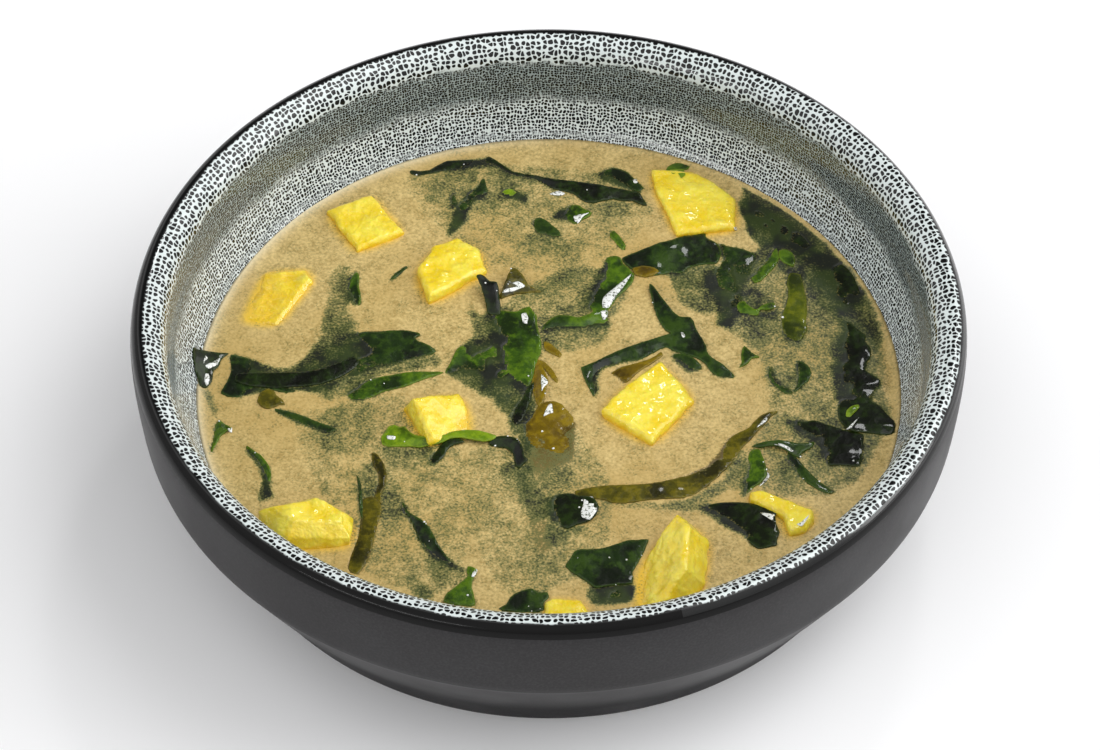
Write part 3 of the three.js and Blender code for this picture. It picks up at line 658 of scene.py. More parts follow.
        """-28.6 -30.6 .2, -27.6 -33 .4, -26.2 -34.2 .5, -24.6 -35.4 .6, -23.2 -37.2, -22.2 -39.6,
        -21.2 -42 .5, -20.2 -43.8 .4, -19.4 -45.4 .2, -18.2 -47 .1, -16 -48 0, -18.6 -47.8 -.2, -21 -46.4,
        -23.4 -44 -.1, -25 -41.4 .1, -25.8 -38.6 .2, -26.8 -36.2 .1, -28 -34 0, -29 -31.6"""),
    "front_tip": ("green",
        """-15.6 -47.2 .4, -14.2 -47.6 .6, -14 -48.6, -14.6 -50.4 .5, -14.8 -52.6 .4, -14.4 -54.6 .3,
        -14.2 -57 .2, -16.4 -57.2, -18.6 -56.8 .3, -20.2 -56 .4, -19.6 -54, -18.2 -52.6, -16.8 -51,
        -15.6 -49.6, -15.8 -48.4 .3"""),
    "small_left": ("green",
        """-65.6 -8.8 .3, -64.6 -9.8 .5, -63.1 -11 .7, -64 -11.8 .6, -65 -13 .4, -65.8 -15 .3, -66.4 -17 .2,
        -66.8 -18.6 .1, -66.9 -16.4, -66.6 -14, -66.5 -11.6, -66.2 -10 .2"""),
    "crescent": ("green",
        """-59.8 -15.8 .4, -58.6 -16.8, -57.2 -18, -56 -19.6, -55 -21.4, -54.6 -23.4 .3, -54.8 -25.6 .1,
        -54.4 -27.6 0, -54 -29.2, -55.4 -30 -.1, -56.6 -30.9, -57 -29.4, -56.6 -26.8, -56.4 -24.6 -.2,
        -57 -22.4 -.3, -58.4 -19.8, -60 -17.6 -.2"""),
    "front_sheet": ("slate",
        """3.2 -47.2 .3, 4.2 -45.2, 5 -43.4, 6.2 -42.8 .4, 8.6 -42.9, 11 -42.4, 13 -41.6 .5, 15.2 -40.6,
        17.4 -40.4, 19.4 -40.4, 18.6 -43 .4, 17.4 -46, 16.2 -48.6 .3, 16.2 -51.4, 13.6 -51.8, 11 -52.2,
        9 -52.6, 7.8 -51.6 .2, 6 -50, 4.6 -48.8"""),
    "front_leaf": ("dark",
        """29.6 -31.6 -.2, 32 -31.2 .3, 34.4 -30.8 .4, 37 -30.7, 39.6 -31 .5, 42.4 -31.8 .6, 44.5 -32.6 .7,
        44.2 -34.4, 44.4 -36.6 .6, 44.9 -38.6 .5, 44.3 -40.4, 44.2 -41.8 .4, 42 -42.4, 40.4 -42.6 .3,
        39.2 -41.4 .2, 37.8 -39.6 .1, 35.6 -38 0, 33.6 -36.6 -.1, 31.8 -34.8 -.2, 29.8 -33.4 -.3"""),
    "flake_back": ("green",
        """1.6 49.6 -.1, 3.8 50.6 .1, 5 51.6 .2, 6.4 51.4 .3, 7.4 50.4 .4, 8.9 49.4 .5, 8.6 48.6, 7 47.4,
        5.8 46.2 .4, 4.6 46.6 .2, 3.6 47.2 .1, 2 47.2 0, .6 48 -.1"""),
    "flake_right": ("green",
        """39 23.6 .4, 39.9 23.8, 40.6 22.8 .5, 41.6 21.8, 42.6 21.6, 43.4 22.6 .6, 45 23.4, 46 23.3,
        46 22 .5, 44.8 21.5, 43.2 21.4 .4, 42.8 20.4 .3, 42.4 19.8 .2, 41 20 .1, 39.4 20, 38.6 21.4 .2,
        38.4 22.6 .3"""),
    "rim": ("slate",
        """-9.6 -58 .2, -8.2 -56.8 .3, -7.4 -55 .4, -6.4 -54, -4.8 -53.2, -3.2 -52.8 .3, -2.2 -53.8 .2,
        -.4 -53.8 .3, 0 -55, -1 -56.4, -1 -58.4 .2, -5 -58.8"""),
}

# %% [markdown]
# Scraps are small torn bits of leaf that float between the large ones. They could be strewn at random, but
# each lies against the leaf or the block that it came from, so they are placed one by one, like the leaves.

# %%
# Scraps, written in the same way.
SCRAPS = {
    "fold_left": ("dark", """-62.6 3.6 .7, -58 3.9 .8, -54 4 .9, -50 4.1, -46 4.9, -42 6.9 .8, -39.4 8.4 .6,
        -38.2 7 .5, -39.6 4.6 .4, -42 2.6, -46 .8, -50 .2, -55 -.2, -60 .4, -62.8 1.6 .5"""),
    "wall_curl": ("dark", """-72.2 11 4.3, -70.6 10.4 3, -68.4 9.8 1.4, -66 9.4 .6, -64.6 9.3 .4, -65.4 8.4,
        -66 7.4 .6, -66.4 5.8 .8, -67.4 4.6 .9, -67.4 3.2 .8, -67.6 1.4 .6, -68.6 -.1 .4, -69.8 .2 .6,
        -70.4 2.4 1.4, -71 4.6 2.4, -71.4 6.6 3, -71.8 8.8 3.7"""),
    "pod_lip": ("amber", """17.2 33.2 .6, 19.6 33.9 .8, 21.6 33.4, 22.6 32.4 .6, 21.4 31.2 .5, 19.6 30.8,
        17.8 31.4"""),
    "flake_sunk": ("slate", """-2.8 47.6 .2, -1.6 47.8 .3, -.4 47, .8 45.6, 2 44.2, 2.5 42.8 .2, 1 42.4 0,
        -.6 43, -2.4 43.6, -3 45.4 .1"""),
    "thread_green": ("green", """12.7 43.4 .3, 13.4 44.1, 14.3 43, 15.1 41.6, 15.9 39.6 .2, 15.4 38.2 .1,
        14.4 39.6 .2, 13.4 41.4 .3, 12.7 42.4"""),
    "patch_back": ("slate", """10.4 60.4 -.1, 11.6 61.8 0, 13.6 62.6 .1, 15.6 62, 17 60.6 .2, 18.6 58.4,
        19.8 56.6, 18.8 55.6 .1, 16 56.6 -.1, 13.4 57.6 -.3, 11.4 58.6"""),
    "scrap_left": ("slate", """-32.6 29.8 .1, -31.2 30.8 .2, -29 33.4, -29.4 33.8, -31.6 31.6"""),
    "triangle": ("green", """39.4 11.3 .6, 41 9.4 .5, 42.5 8.3, 41 7.9, 40.6 7.3 .4, 39.8 6.2 .3,
        38.3 5.3 .2, 38.9 6.8 .3, 38.8 8.8 .4"""),
    "ring_left": ("slate", """44.6 5.8, 44.2 3.6 .1, 44.8 1.2, 46.2 -.6, 47.4 -1.8, 48.8 -1.6, 47.6 -.2 0,
        46 1.2 -.1, 45.4 3.6"""),
    "ring_right": ("slate", """49.8 7.2, 51.2 6.8 .2, 52.4 5.4 .3, 52.8 3.6, 52 1.6, 50.8 .4 .2, 50 -.8 .1,
        49 -1.4, 50 1, 50.2 3.6 0, 49.8 5.6 -.1"""),
    "dark_blade": ("dark", """-2.6 1.6 .3, -3.2 -1, -3.6 -3.6 .2, -4.4 -6.4 .1, -5.4 -9 0, -6.8 -11 -.1,
        -7.4 -9 0, -6.6 -6 .1, -5.2 -3 .2, -4.2 0"""),
    "amber_bit": ("amber", """-1 12.4 .3, 0 12.3 .4, 1.4 10.8, 2.7 9 .3, 2.2 8.2, .6 9.3, -.8 10.4"""),
    "amber_edge": ("amber", """-2.4 7.6 .3, -1 7 .4, .6 5, 1.7 2.6 .3, 1.8 1 .2, .6 2.4 .3, -.6 4.6,
        -1.8 6.2"""),
    "olive_wedge": ("amber", """12.6 3.8, 14.6 5.4 .2, 17 6.3 .3, 20.6 7.8 .4, 22.6 9.6 .5, 23 8.8,
        21.4 7 .4, 19 5 .3, 17 3, 15.6 1.2 .1, 14 2.4 0"""),
    "brown_bit": ("brown", """-57.8 -1.6 .3, -56.4 -.4 .6, -55 -1, -54.4 -2.4 .5, -53.2 -3.4 .4,
        -52.6 -5 .2, -54 -5, -55.6 -5.8, -57.2 -5.4 .3, -58.2 -4"""),
    "brown_blade": ("slate", """-54.8 -5.8 .2, -52 -6.6, -49.6 -7.5 .3, -47 -8.9, -44.6 -10.1,
        -42.2 -11.4 .2, -43.6 -12.4 0, -46.4 -11.5 -.1, -49 -10.3, -51.6 -8.9, -53.8 -7.4 0"""),
    "loop_right": ("brown", """-35 -17.8 .2, -33.8 -18.2, -32.6 -20.6 .3, -31.9 -23.4, -32.1 -26, -32.9 -29,
        -32.8 -31, -34.2 -29.4 .2, -33.5 -26, -33.5 -23.4, -34.6 -21"""),
    "loop_left": ("slate", """-37.9 -23.6 .2, -37.1 -25 .3, -36.6 -28, -36.4 -32, -36.4 -35 .2, -37 -33,
        -37.2 -29, -37.5 -26"""),
    "loop_root": ("brown", """-36.4 -30 .1, -34.6 -29.2 .2, -33 -31 .3, -32.7 -33, -33.3 -36, -33.9 -40,
        -34.4 -43 .2, -35.4 -46.6, -37 -49.2, -38.7 -48 .1, -38.3 -44.6, -37.3 -41, -36.7 -37,
        -36.7 -33"""),
    "grain_right": ("slate", """33 32 -.2, 35 33.4 0, 36.6 33 .1, 37.8 30 0, 38.7 26, 39.4 23.6,
        38.4 20 -.1, 37.4 17, 36 16.4 -.2, 34.2 17.4, 34.6 20 -.3, 34.2 24, 32.8 27 -.2, 31.4 28.8,
        31.8 31 -.3"""),
    "lime_patch": ("lime", """-9.8 55.6, -8 56.4 .1, -6.4 55.2 0, -4.4 54 -.1, -4.8 52.4 -.3, -7 52.9,
        -9.2 54.2 -.1"""),
    "lime_spot": ("lime", """59.2 -7.9 .7, 59.4 -6.4 .8, 60.4 -5.2, 61.8 -4.8 .7, 61.9 -5.6, 60.9 -7,
        60 -8.2 .6"""),
    "front_olive": ("green", """8 -52.4 -.2, 12 -52 -.1, 16.2 -51.6, 16 -56, 12 -57 -.2, 8.6 -57 -.3,
        7.2 -54.6 -.5"""),
}

# %% [markdown]
# More leaves hang under the surface and show only as a dark haze. They could be painted into the broth's
# colour. Here they are real sheets under it, so that their shadow follows the same rule as the shadow of a
# leaf that dips under, and the dish is whole when the broth is taken away. The last of them are wide thin
# clouds of settled leaf.

# %%
# Sunk leaves, and sunk stems and brown leaves; their heights are below nought.
DEEP = [
    """-24 60.6 -.9, -25 56, -26.4 53 -1, -24 51 -1.2, -20 51, -17 56 -.9, -14.6 60.6 -.7, -15.4 62 -.6,
    -21 61.6 -.7""",
    """-13.6 62 -.7, -8 59.8 -.8, -3 58.4 -.9, -3 54 -1.3, -5 50 -1.2, -9 49.4 -1.1, -13 49.2 -.8, -16 50.4,
    -14.6 53.4 -.6, -12.6 56 -.8""",
    """0 55.6 -1, 6 53, 10 51.6 -.7, 14 52.6 -.6, 17 52 -.8, 16.6 48 -1, 13 48.4 -.7, 10.6 47 -.9,
    11 50.4 -.8, 5 52.4 -1.2""",
    """-4 43.4 -.7, 2.6 42.4, 4.6 39 -1, 1 36.6 -1.1, -5 36 -1, -7.6 38 -1.3""",
    """-44.6 33 -1.1, -41 34 -.9, -40.4 28 -.7, -41 22 -.6, -39 18 -.8, -39 15.2 -.5, -46 15, -46 20 -.9,
    -45 27 -1""",
    """-44 3 -.7, -38 4, -30 6.6, -22.8 9 -.8, -21.4 5.8 -1, -27 4.6 -.7, -34 3 -.6, -40 -1.6 -.7,
    -43 -3.6 -.9, -47 -2""",
    """-18.8 2.2 -.6, -15 -1, -11 -3 -.7, -7 -9 -.9, -5 -12 -1, -4 -4 -.5, -5 1""",
    """-1.6 14 -.8, 4 15, 12 16.8 -.7, 12 13 -1.1, 8 10.6 -1.2, 3.4 9.6 -1.1, -1 9.6 -.8""",
    """8.6 22 -.5, 8.2 27, 10.6 33 -.6, 7.4 31 -1, 4.6 26.4 -1.1, 2 22, 4 20.6 -.9""",
    """-14 20 -.6, -16.4 21.6 -.8, -16 18, -15.2 14.4, -17 12 -.9, -13 14 -.5""",
    """34 31 -.6, 36 24 -.5, 34.6 17 -.8, 37 15.4 -1, 39 20 -.8, 40 26 -.9, 41.4 32 -.7""",
    """43 38.6 -.5, 46 38.4, 46 33 -.8, 43 29, 41.6 34 -.6""",
    """47.4 33 -.5, 52.6 33 -.4, 55.6 27 -.6, 57.4 21 -.7, 58 17, 54.6 15.4 -1, 52.6 20 -.7, 52.6 27 -.5""",
    """62 20 -.9, 64 24 -.8, 66.4 17 -1.3, 67.6 9 -1.4, 67.8 1 -1.3, 66 4 -1.1, 65.6 10 -1""",
    """46 7 -.9, 49 8.4, 51.4 11.4 -1, 49.6 12.4 -.9, 47.4 9 -1.1""",
    """45.6 5.6 -.7, 50 6, 50.4 2, 48 -.8, 45.6 2 -.8""",
    """-33 -15.6 -.5, -28 -16, -23 -16 -.4, -23 -21 -.9, -27 -22.4 -1.1, -31.6 -21 -.9""",
    """-37.8 -23.4 -.7, -35 -20 -.8, -33.6 -24 -.7, -33 -31, -36.6 -34 -.6""",
    """-32.4 -22 -1, -29 -24 -1.1, -28.4 -31 -.8, -28 -35, -31 -39.6 -1.1, -33.4 -33 -.8""",
    """-47 -10 -.9, -42 -4 -1.1, -35.6 -5, -34.4 -11 -1, -38 -18 -1.1, -44 -17.6 -1""",
    """-9.8 -24 -.6, -8.6 -26.4 -.8, -5 -27 -.9, -4.6 -22 -.4, -6.6 -20, -9.2 -21 -.8""",
    """-1 -22.6 -.8, 4 -21 -.9, 5.4 -24 -1, 2 -27.8 -.8, -3 -27 -.9""",
    """0 -36 -.3, 3 -38 -.4, 7 -37 -.6, 5 -40 -1, 2.4 -42 -.9, -1 -40 -.5""",
    """10 -31 -.9, 18 -31, 26 -30.4 -.7, 34 -25 -.9, 38 -20 -1, 38 -26, 33 -29 -.8, 29 -33, 18 -32.6 -1.3""",
    """-23 -44 -.7, -16 -48.6 -.6, -17 -52 -1, -21 -53 -1.1, -24 -49""",
    """-28 -50 -.9, -25.6 -50 -.6, -23 -53 -.5, -22 -55.6, -26 -55 -.8""",
    """50.4 -19 -.8, 54 -18, 56 -22 -1, 55 -26, 52 -23.6 -.8""",
    """35 -16 -1.2, 39 -17.4 -.9, 39.6 -22 -.7, 38 -27, 35 -27 -1.1""",
    """44 -18 -.9, 47.6 -19 -.7, 49.4 -24, 47 -26.6 -.9, 44.4 -22 -1""",
    """-68.8 -.4 -.5, -67.2 -3 -.6, -66 -7.6 -.7, -66.6 -8.6 -.8, -68.4 -4""",
    """-3 -42 -.8, -1.4 -44, -1.6 -50 -.9, -3 -52.4 -.7, -3.6 -47 -1""",
    """40.6 52.6 -.8, 43 53 -1.2, 48 49, 53 43.6, 57.6 38.4, 52 42 -.6, 46 49.4""",
    """-12 0 -.3, -7 1 -.2, -3 -2 -.15, -2.4 -7 -.2, -4.6 -12, -7 -13 -.3, -8.6 -8, -11 -4 -.4""",
    """38 24 -.5, 42 28 -.3, 47 22 -.4, 46 14 -.5, 41 10 -.7, 38 16 -.6""",
    """-6 -4 -.3, -3 -5 -.2, -2.4 -14 -.3, -3.6 -20 -.5, -2 -27, 2 -33 -.4, -3 -36 -.5, -6 -28 -.6,
    -6.6 -18 -.5, -5.4 -11 -.3""",
    """-30 60 -1.5, -10 64 -1.4, 14 60 -1.3, 22 50 -1.5, 16 40 -1.7, 4 32 -1.6, -12 34 -1.7, -24 46""",
    """36 34 -1.2, 54 34 -.9, 64 20, 66 4, 68 -8, 60 -26 -1.1, 46 -30 -1.2, 38 -22 -1.3, 44 -6 -1.4,
    42 10 -1.3, 34 18""",
    """40.6 57 -.25, 49.6 49.8 -.2, 56.8 41.6, 62.8 31.6, 66 23 -.25, 68 14 -.5, 65 9 -.6, 61.6 14 -.4,
    57 20 -.3, 51 29 -.25, 45 36 -.3, 42 44 -.2""",
    """24 36 -.5, 30 36 -.4, 36 33, 37 26 -.6, 33 20 -.9, 28 22 -.7, 25 29""",
    """-2 30 -.8, 8 34, 16 28 -1, 14 20, 4 14 -.9, -6 14, -10 22""",
    """52 -10 -.5, 60 -8 -.4, 64 -14 -.5, 60 -22 -.8, 52 -20 -.7, 48 -15 -.8""",
    """-50 -8 -1.8, -30 -2 -1.7, -18 -16 -1.5, -14 -34 -1.7, -20 -54 -1.4, -34 -50 -1.5, -42 -34 -1.6,
    -48 -20 -1.8""",
    """-16 -18 -1.7, 2 -8 -1.4, 12 -24 -1.5, 12 -38 -1.4, 8 -48 -1.3, -6 -56, -14 -42 -1.7""",
]
BROWN_DEEP = [
    """52 34 -1.5, 66 14 -1, 68 -4, 62 -24 -1.3, 50 -30 -1.6, 54 -4 -1.7, 50 16""",
    """-4.6 -8 -.4, -1 -4, 4.8 -8 -.5, 5.4 -16, 4.4 -22 -.8, 1 -27 -1, -3 -26 -.8, -5 -18 -.4, -5.2 -12""",
    """-5 -27.6 -.7, -.6 -29 -.3, 0 -36 -.2, 3 -38.4 -.3, 1.4 -42 -.4, -1 -44.6 -.5, -2.4 -47, -3 -40 -.6,
    -4.4 -34 -.7""",
    """63.6 16 -1, 66.4 16 -1.2, 68.6 6 -1.3, 68.4 0 -1.2, 65.4 2.6 -.8, 65.6 8""",
    """-33.4 -13.6 -.6, -34.8 -12 -1, -36 -13 -1.3, -34 -15 -.9""",
]

# %%
# A leaf from its outline: filled, cut into a fine grid, bent to its heights, thickened.
SLANT = 0.93
STANDS, SINKS = 1.5, 0.20
CELL, DEEP_CELL = 0.55, 1.3


def outline(text):
    """The stations written in a text. A height holds until the next one is given."""
    stations, height = [], 0.0
    for station in text.split(","):
        across, away, *given = (float(word) for word in station.split())
        height = given[0] if given else height
        stations.append((across, away, height))
    return stations


def soft_outline(stations, seed):
    """The outline drawn finer and a little torn, moved from where it looks to be to where it is."""
    rows = np.array(stations, float)
    rows[:, 2] = STANDS * rows[:, 2] - SINKS
    rows[:, 1] -= SLANT * np.maximum(rows[:, 2], 0)
    out = []
    for i in range(len(rows)):
        a, b, c, d = (rows[(i + k) % len(rows)] for k in (-1, 0, 1, 2))
        for t in np.arange(4) / 4:
            out.append(0.6 * curve(a, b, c, d, t) + 0.4 * (b + (c - b) * t))
    fine = np.array(out)
    for axis in (0, 1):
        fine[:, axis] += 0.10 * rough(fine, 1.1, seed + axis)
    return fine


def wall_radius(z):
    """The radius of the bowl's inside at a height."""
    order = np.argsort(INSIDE[:, 1])
    return np.interp(z, INSIDE[order, 1], INSIDE[order, 0])


def leaf_from(stations, name, seed, bulge=0.22, ripple=0.18, thickness=0.34, cell=CELL):
    """One sheet of leaf over its outline."""
    fine = soft_outline(stations, seed)
    bpy.ops.mesh.primitive_circle_add(vertices=len(fine), radius=1, fill_type="NGON")
    leaf = bpy.context.object
    leaf.name = name
    put(leaf, np.column_stack([fine[:, :2], np.full(len(fine), LEVEL)]))
    bpy.ops.object.mode_set(mode="EDIT")
    bpy.ops.mesh.select_mode(type="VERT")
    for axis in (0, 1):
        low, high = fine[:, axis].min(), fine[:, axis].max()
        across = [1.0 - axis, float(axis), 0]
        for at in np.arange(low + cell / 2, high, cell):
            spot = [0, 0, 0]
            spot[axis] = at * MM
            bpy.ops.mesh.select_all(action="SELECT")
            bpy.ops.mesh.bisect(plane_co=spot, plane_no=across)
    bpy.ops.mesh.select_all(action="SELECT")
    bpy.ops.mesh.normals_make_consistent(inside=False)
    bpy.ops.object.mode_set(mode="OBJECT")
    mm = points(leaf)
    away = np.hypot(mm[:, None, 0] - fine[None, :, 0], mm[:, None, 1] - fine[None, :, 1])
    inward = away.min(axis=1)
    share = 1 / (away + 0.05) ** 2.5
    height = (share * fine[:, 2]).sum(1) / share.sum(1)
    waves = bulge * rough(mm, 5.0, seed + 7) + ripple * rough(mm, 2.2, seed + 3)
    height += waves * (1 - np.exp(-inward / 1.2))
    mm[:, 2] = LEVEL + height + 0.14 * (1 - np.exp(-inward / 1.0))
    out = np.hypot(mm[:, 0], mm[:, 1])
    mm[:, :2] *= np.minimum(1, (wall_radius(mm[:, 2]) - 0.4) / out)[:, None]
    put(leaf, mm)
    if sum(face.normal.z * face.area for face in leaf.data.polygons) < 0:
        leaf.data.flip_normals()
    store(leaf, "inward", inward)
    apply_modifier(leaf, "SOLIDIFY", thickness=thickness * MM, offset=-1)
    bpy.ops.object.shade_smooth()
    return leaf


def joined(parts, name):
    """Several sheets made one object."""
    activate(parts[0])
    for part in parts:
        part.select_set(True)
    bpy.ops.object.join()
    parts[0].name = name
    return parts[0]


# %% [markdown]
# The leaf's colour is deep green to nearly black where it is thick or doubled, and lighter olive where it
# is thin, at its torn edges. It is wet all over, so a clear film lies on it that catches the light in hard
# small glints.

# %%
# Wakame in its shades.
def wakame_skin(name, deep, main, thin, edge):
    """Softened wakame, wet: a dark leaf that turns lighter where it is thin."""
    leaf, shader = new_material(name)
    where = own_place(leaf)
    inward = stored(leaf, "inward")
    cloud = grain(leaf, where, 7.0, 4, 0.55)
    streak = grain(leaf, where, 1.5, 4, 0.6)
    body = blend(leaf, between(leaf, cloud, 0.38, 0.54), deep, main)
    vein = maths(leaf, "MULTIPLY_ADD", streak, 0.5, maths(leaf, "MULTIPLY", cloud, 0.5))
    veined = blend(leaf, between(leaf, vein, 0.47, 0.61, 0, 0.95), body, thin)
    rim = between(leaf, maths(leaf, "ADD", inward, maths(leaf, "MULTIPLY", streak, 0.7)), 0.3, 0.9, 1.0, 0.0)
    # Grains of miso settle on the leaf where it lies at the surface.
    awash = between(leaf, millimetres(leaf, where, 2), LEVEL - 0.30, LEVEL + 0.40, 1.0, 0.0)
    settled = between(leaf, maths(leaf, "SUBTRACT", awash, grain(leaf, where, 0.42, 2)), 0.0, 0.30, 0.0, 0.65)
    green = blend(leaf, maths(leaf, "MULTIPLY", rim, 0.6), veined, edge)
    feed(leaf, shader, Base_Color=blend(leaf, settled, green, "8C8450"), Roughness=0.34,
         Coat_Weight=0.32, Coat_Roughness=0.06, Specular_IOR_Level=0.12,
         Normal=bumped(leaf, maths(leaf, "ADD", streak, maths(leaf, "MULTIPLY", cloud, 2.0)), 0.4, 0.6))
    return leaf


SHADES = {
    "dark": wakame_skin("Wakame, nearly black, doubled and wet", "080B04", "121A07", "22320D", "30420F"),
    "slate": wakame_skin("Wakame, deep green, wet", "10180A", "1E3010", "324815", "466018"),
    "green": wakame_skin("Wakame, green, thin and wet", "1A2A0A", "345010", "547214", "6C8818"),
    "olive": wakame_skin("Wakame, olive, thin and wet", "2A3409", "4A550F", "6A7014", "7A8020"),
    "lime": wakame_skin("Wakame, bright green where light comes through",
                        "3A5008", "5E7E10", "7E9A18", "8FA628"),
    "brown": wakame_skin("Wakame stem, olive brown, wet", "2A2808", "4C480E", "6E6414", "7E701C"),
    "amber": wakame_skin("Wakame stem, amber, thin and wet", "453609", "6A560B", "86700F", "93801C"),
}
LEAF_SEED, SCRAP_SEED, DEEP_SEED, FILM_SEED, HERB_SEED = 0, 1000, 2000, 3000, 3800
APART = 20
leaf_pieces, scrap_pieces, deep_pieces = [], [], []
for number, (name, (shade, *sheets)) in enumerate(LEAVES.items()):
    seed = LEAF_SEED + APART * number
    parts = [leaf_from(outline(text), f"part{k}", seed + 5 * k) for k, text in enumerate(sheets)]
    leaf = joined(parts, f"wakame_{name}_leaf")
    nodes = [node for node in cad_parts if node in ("wakame_" + name, "wakame_" + name + "_arm")]
    finish_piece(leaf, SHADES[shade], "wakame", *nodes)
    leaf["shade"] = shade
    leaf_pieces.append(leaf)
for number, (name, (shade, text)) in enumerate(SCRAPS.items()):
    level = [(x, y, (z * 0.8 + SINKS) / STANDS) for x, y, z in outline(text)]
    seed = SCRAP_SEED + APART * number
    scrap = leaf_from(level, f"wakame_scrap_{name}", seed, bulge=0.12, ripple=0.1)
    finish_piece(scrap, SHADES[shade], "wakame")
    scrap["shade"] = shade
    scrap_pieces.append(scrap)
for shade, texts in (("slate", DEEP), ("brown", BROWN_DEEP)):
    for number, text in enumerate(texts):
        raised = [(x, y, z / STANDS) for x, y, z in outline(text)]
        seed = DEEP_SEED + APART * number
        sheet = leaf_from(raised, f"wakame_deep_{shade}_{number:02d}", seed, bulge=0.2, cell=DEEP_CELL)
        finish_piece(sheet, SHADES[shade], "wakame")
        sheet["shade"] = shade
        deep_pieces.append(sheet)
print("leaves:", len(leaf_pieces), "scraps:", len(scrap_pieces), "deep:", len(deep_pieces), "faces:",
      sum(len(p.data.polygons) for p in leaf_pieces + scrap_pieces + deep_pieces))

# %% [markdown]
# Where a fold or a bubble holds a film of broth, the film mirrors the lamp and shows as a small white patch
# with the grains of the broth in it. A film that thin can't be told from a wet leaf by its shape, so each
# one is a skin laid on the leaf under it, very smooth, with the lamp's reflection painted into its colour
# as a white highlight. The smallest are single drops, painted white in the same way.

# %%
# Films and drops, painted white as highlights: outlines as seen from the front camera.
DOWN = Vector((0, 0, -1))
GLINTS = [
    "5.1 47.8, 5.6 48.5, 8.4 49.3, 7.2 48.2, 6 46.1",
    "-66.2 7.9, -66.6 6.2, -68.2 5, -69 5.8, -67.8 6.8",
    "-8.8 29.8, -7.6 29, -6.2 29.4, -4.8 28.1, -7 26.8, -9.4 26.2, -9 27.2, -6.4 28.2",
    "17 31.6, 15.6 30, 11.2 25, 11 22, 12.4 22.2, 13.6 25, 15.6 28.4",
    "10.6 21, 12 21, 11.8 19, 11 18.6",
    "59 -11.6, 60.2 -11, 61 -9.6, 61.8 -8.2",
    "44.6 -15, 46.4 -15.6, 48.2 -17.2",
    "43 -22.9, 43.5 -23.9, 42.8 -25.2, 41.3 -26.6, 42.2 -25, 42.9 -23.9",
    "43.4 -8.3, 43.5 -9, 42.3 -10.3, 41.3 -11, 42.3 -9.6",
    "6.9 -29.6, 8.6 -29.4, 9.7 -32.1, 8 -35.2, 6.5 -34.6, 6.3 -33, 6.8 -31",
    "-1.5 3.4, -.7 2.4, -.1 1.2, -.9 0, -1.4 -1",
    "-1 -8, -.6 -6.2, 0 -4.9, .6 -4.6, .9 -6.9, .2 -7.2",
    "-14 -47.9, -13.8 -48.4, -14.4 -49.9, -14.9 -49.8, -14.6 -48.7",
    "-63.4 -11, -62.9 -11.2, -62.9 -12.3, -63.5 -11.9",
    "50.6 -34.1, 50.2 -35.2, 49.2 -36.9, 48.2 -36.4, 49.2 -35.7",
    "-71.3 8.6, -69.6 9, -68.6 8, -69.2 7, -70.6 6.6",
    "-68.9 3.6, -68.2 3.4, -68 1.6, -68.5 .4, -69 1.4",
    "44.6 -15, 46.4 -15.5, 48.3 -17, 48 -17.5, 46.2 -16.1, 44.7 -15.5",
    "-5.6 20, -4.6 20.4, -4.2 19, -4.4 17.4, -5.2 17.8",
    "17.6 58.9, 18.4 59.2, 18.6 58.2, 17.9 58",
    ".2 54.8, 2 55.8, 3.4 55, 2.4 54.4",
    "41.2 -33.4, 44 -34, 44.2 -35.8, 43 -35",
    "26.7 15, 27.3 14.9, 27.6 13.8, 27.1 13.6",
    "-32 -13.2, -30.4 -13.3, -30.6 -14.2, -31.9 -14.1",
    "38.3 44.9, 39 45.1, 39.1 44.2, 38.5 44.1",
]


def tree_of(objects):
    """One search tree over several meshes, in millimetres."""
    verts, faces = [], []
    for obj in objects:
        start = len(verts)
        verts += [Vector(p) for p in points(obj)]
        faces += [[start + v for v in face.vertices] for face in obj.data.polygons]
    return BVHTree.FromPolygons(verts, faces)


def top_at(tree, x, y):
    """The height of the highest piece over a point, or of the broth."""
    hit = tree.ray_cast(Vector((x, y, LEVEL + 30)), DOWN, 33)
    return max(hit[0].z, LEVEL + 0.1) if hit[0] is not None else LEVEL + 0.1


def painted_highlight_skin():
    """A film of broth over a fold, with the lamp's reflection painted in as a white highlight, and grains in
    it.
    """
    film, shader = new_material("Film of broth on a fold, lamp highlight painted white")
    where = own_place(film)
    grains = between(film, grain(film, where, 0.55, 3, 0.6), 0.36, 0.50)
    # Painted highlight: the base colour is near white, standing in for the lamp's reflection.
    feed(film, shader, Base_Color=blend(film, grains, "5A6048", "F4F6F2"), Roughness=0.12, Coat_Weight=1.0,
         Coat_Roughness=0.03, Normal=bumped(film, grains, 0.1, 0.4))
    return film


def laid_over(text, name, seed, lift, thickness):
    """A thin sheet laid on whatever is highest under its outline."""
    around = [(x, y, (SINKS + 0.02) / STANDS) for x, y, _ in outline(text)]
    skin = leaf_from(around, name, seed, bulge=0, ripple=0, thickness=thickness)
    mm = points(skin)
    seat = mm.copy()
    for k, (x, y, z) in enumerate(mm):
        for _ in range(3):
            seat[k, 2] = top_at(land, x, seat[k, 1])
            seat[k, 1] = y - SLANT * (seat[k, 2] - LEVEL)
    seat[:, 2] += lift + (mm[:, 2] - mm[:, 2].max()) * 0.5
    put(skin, seat)
    return skin


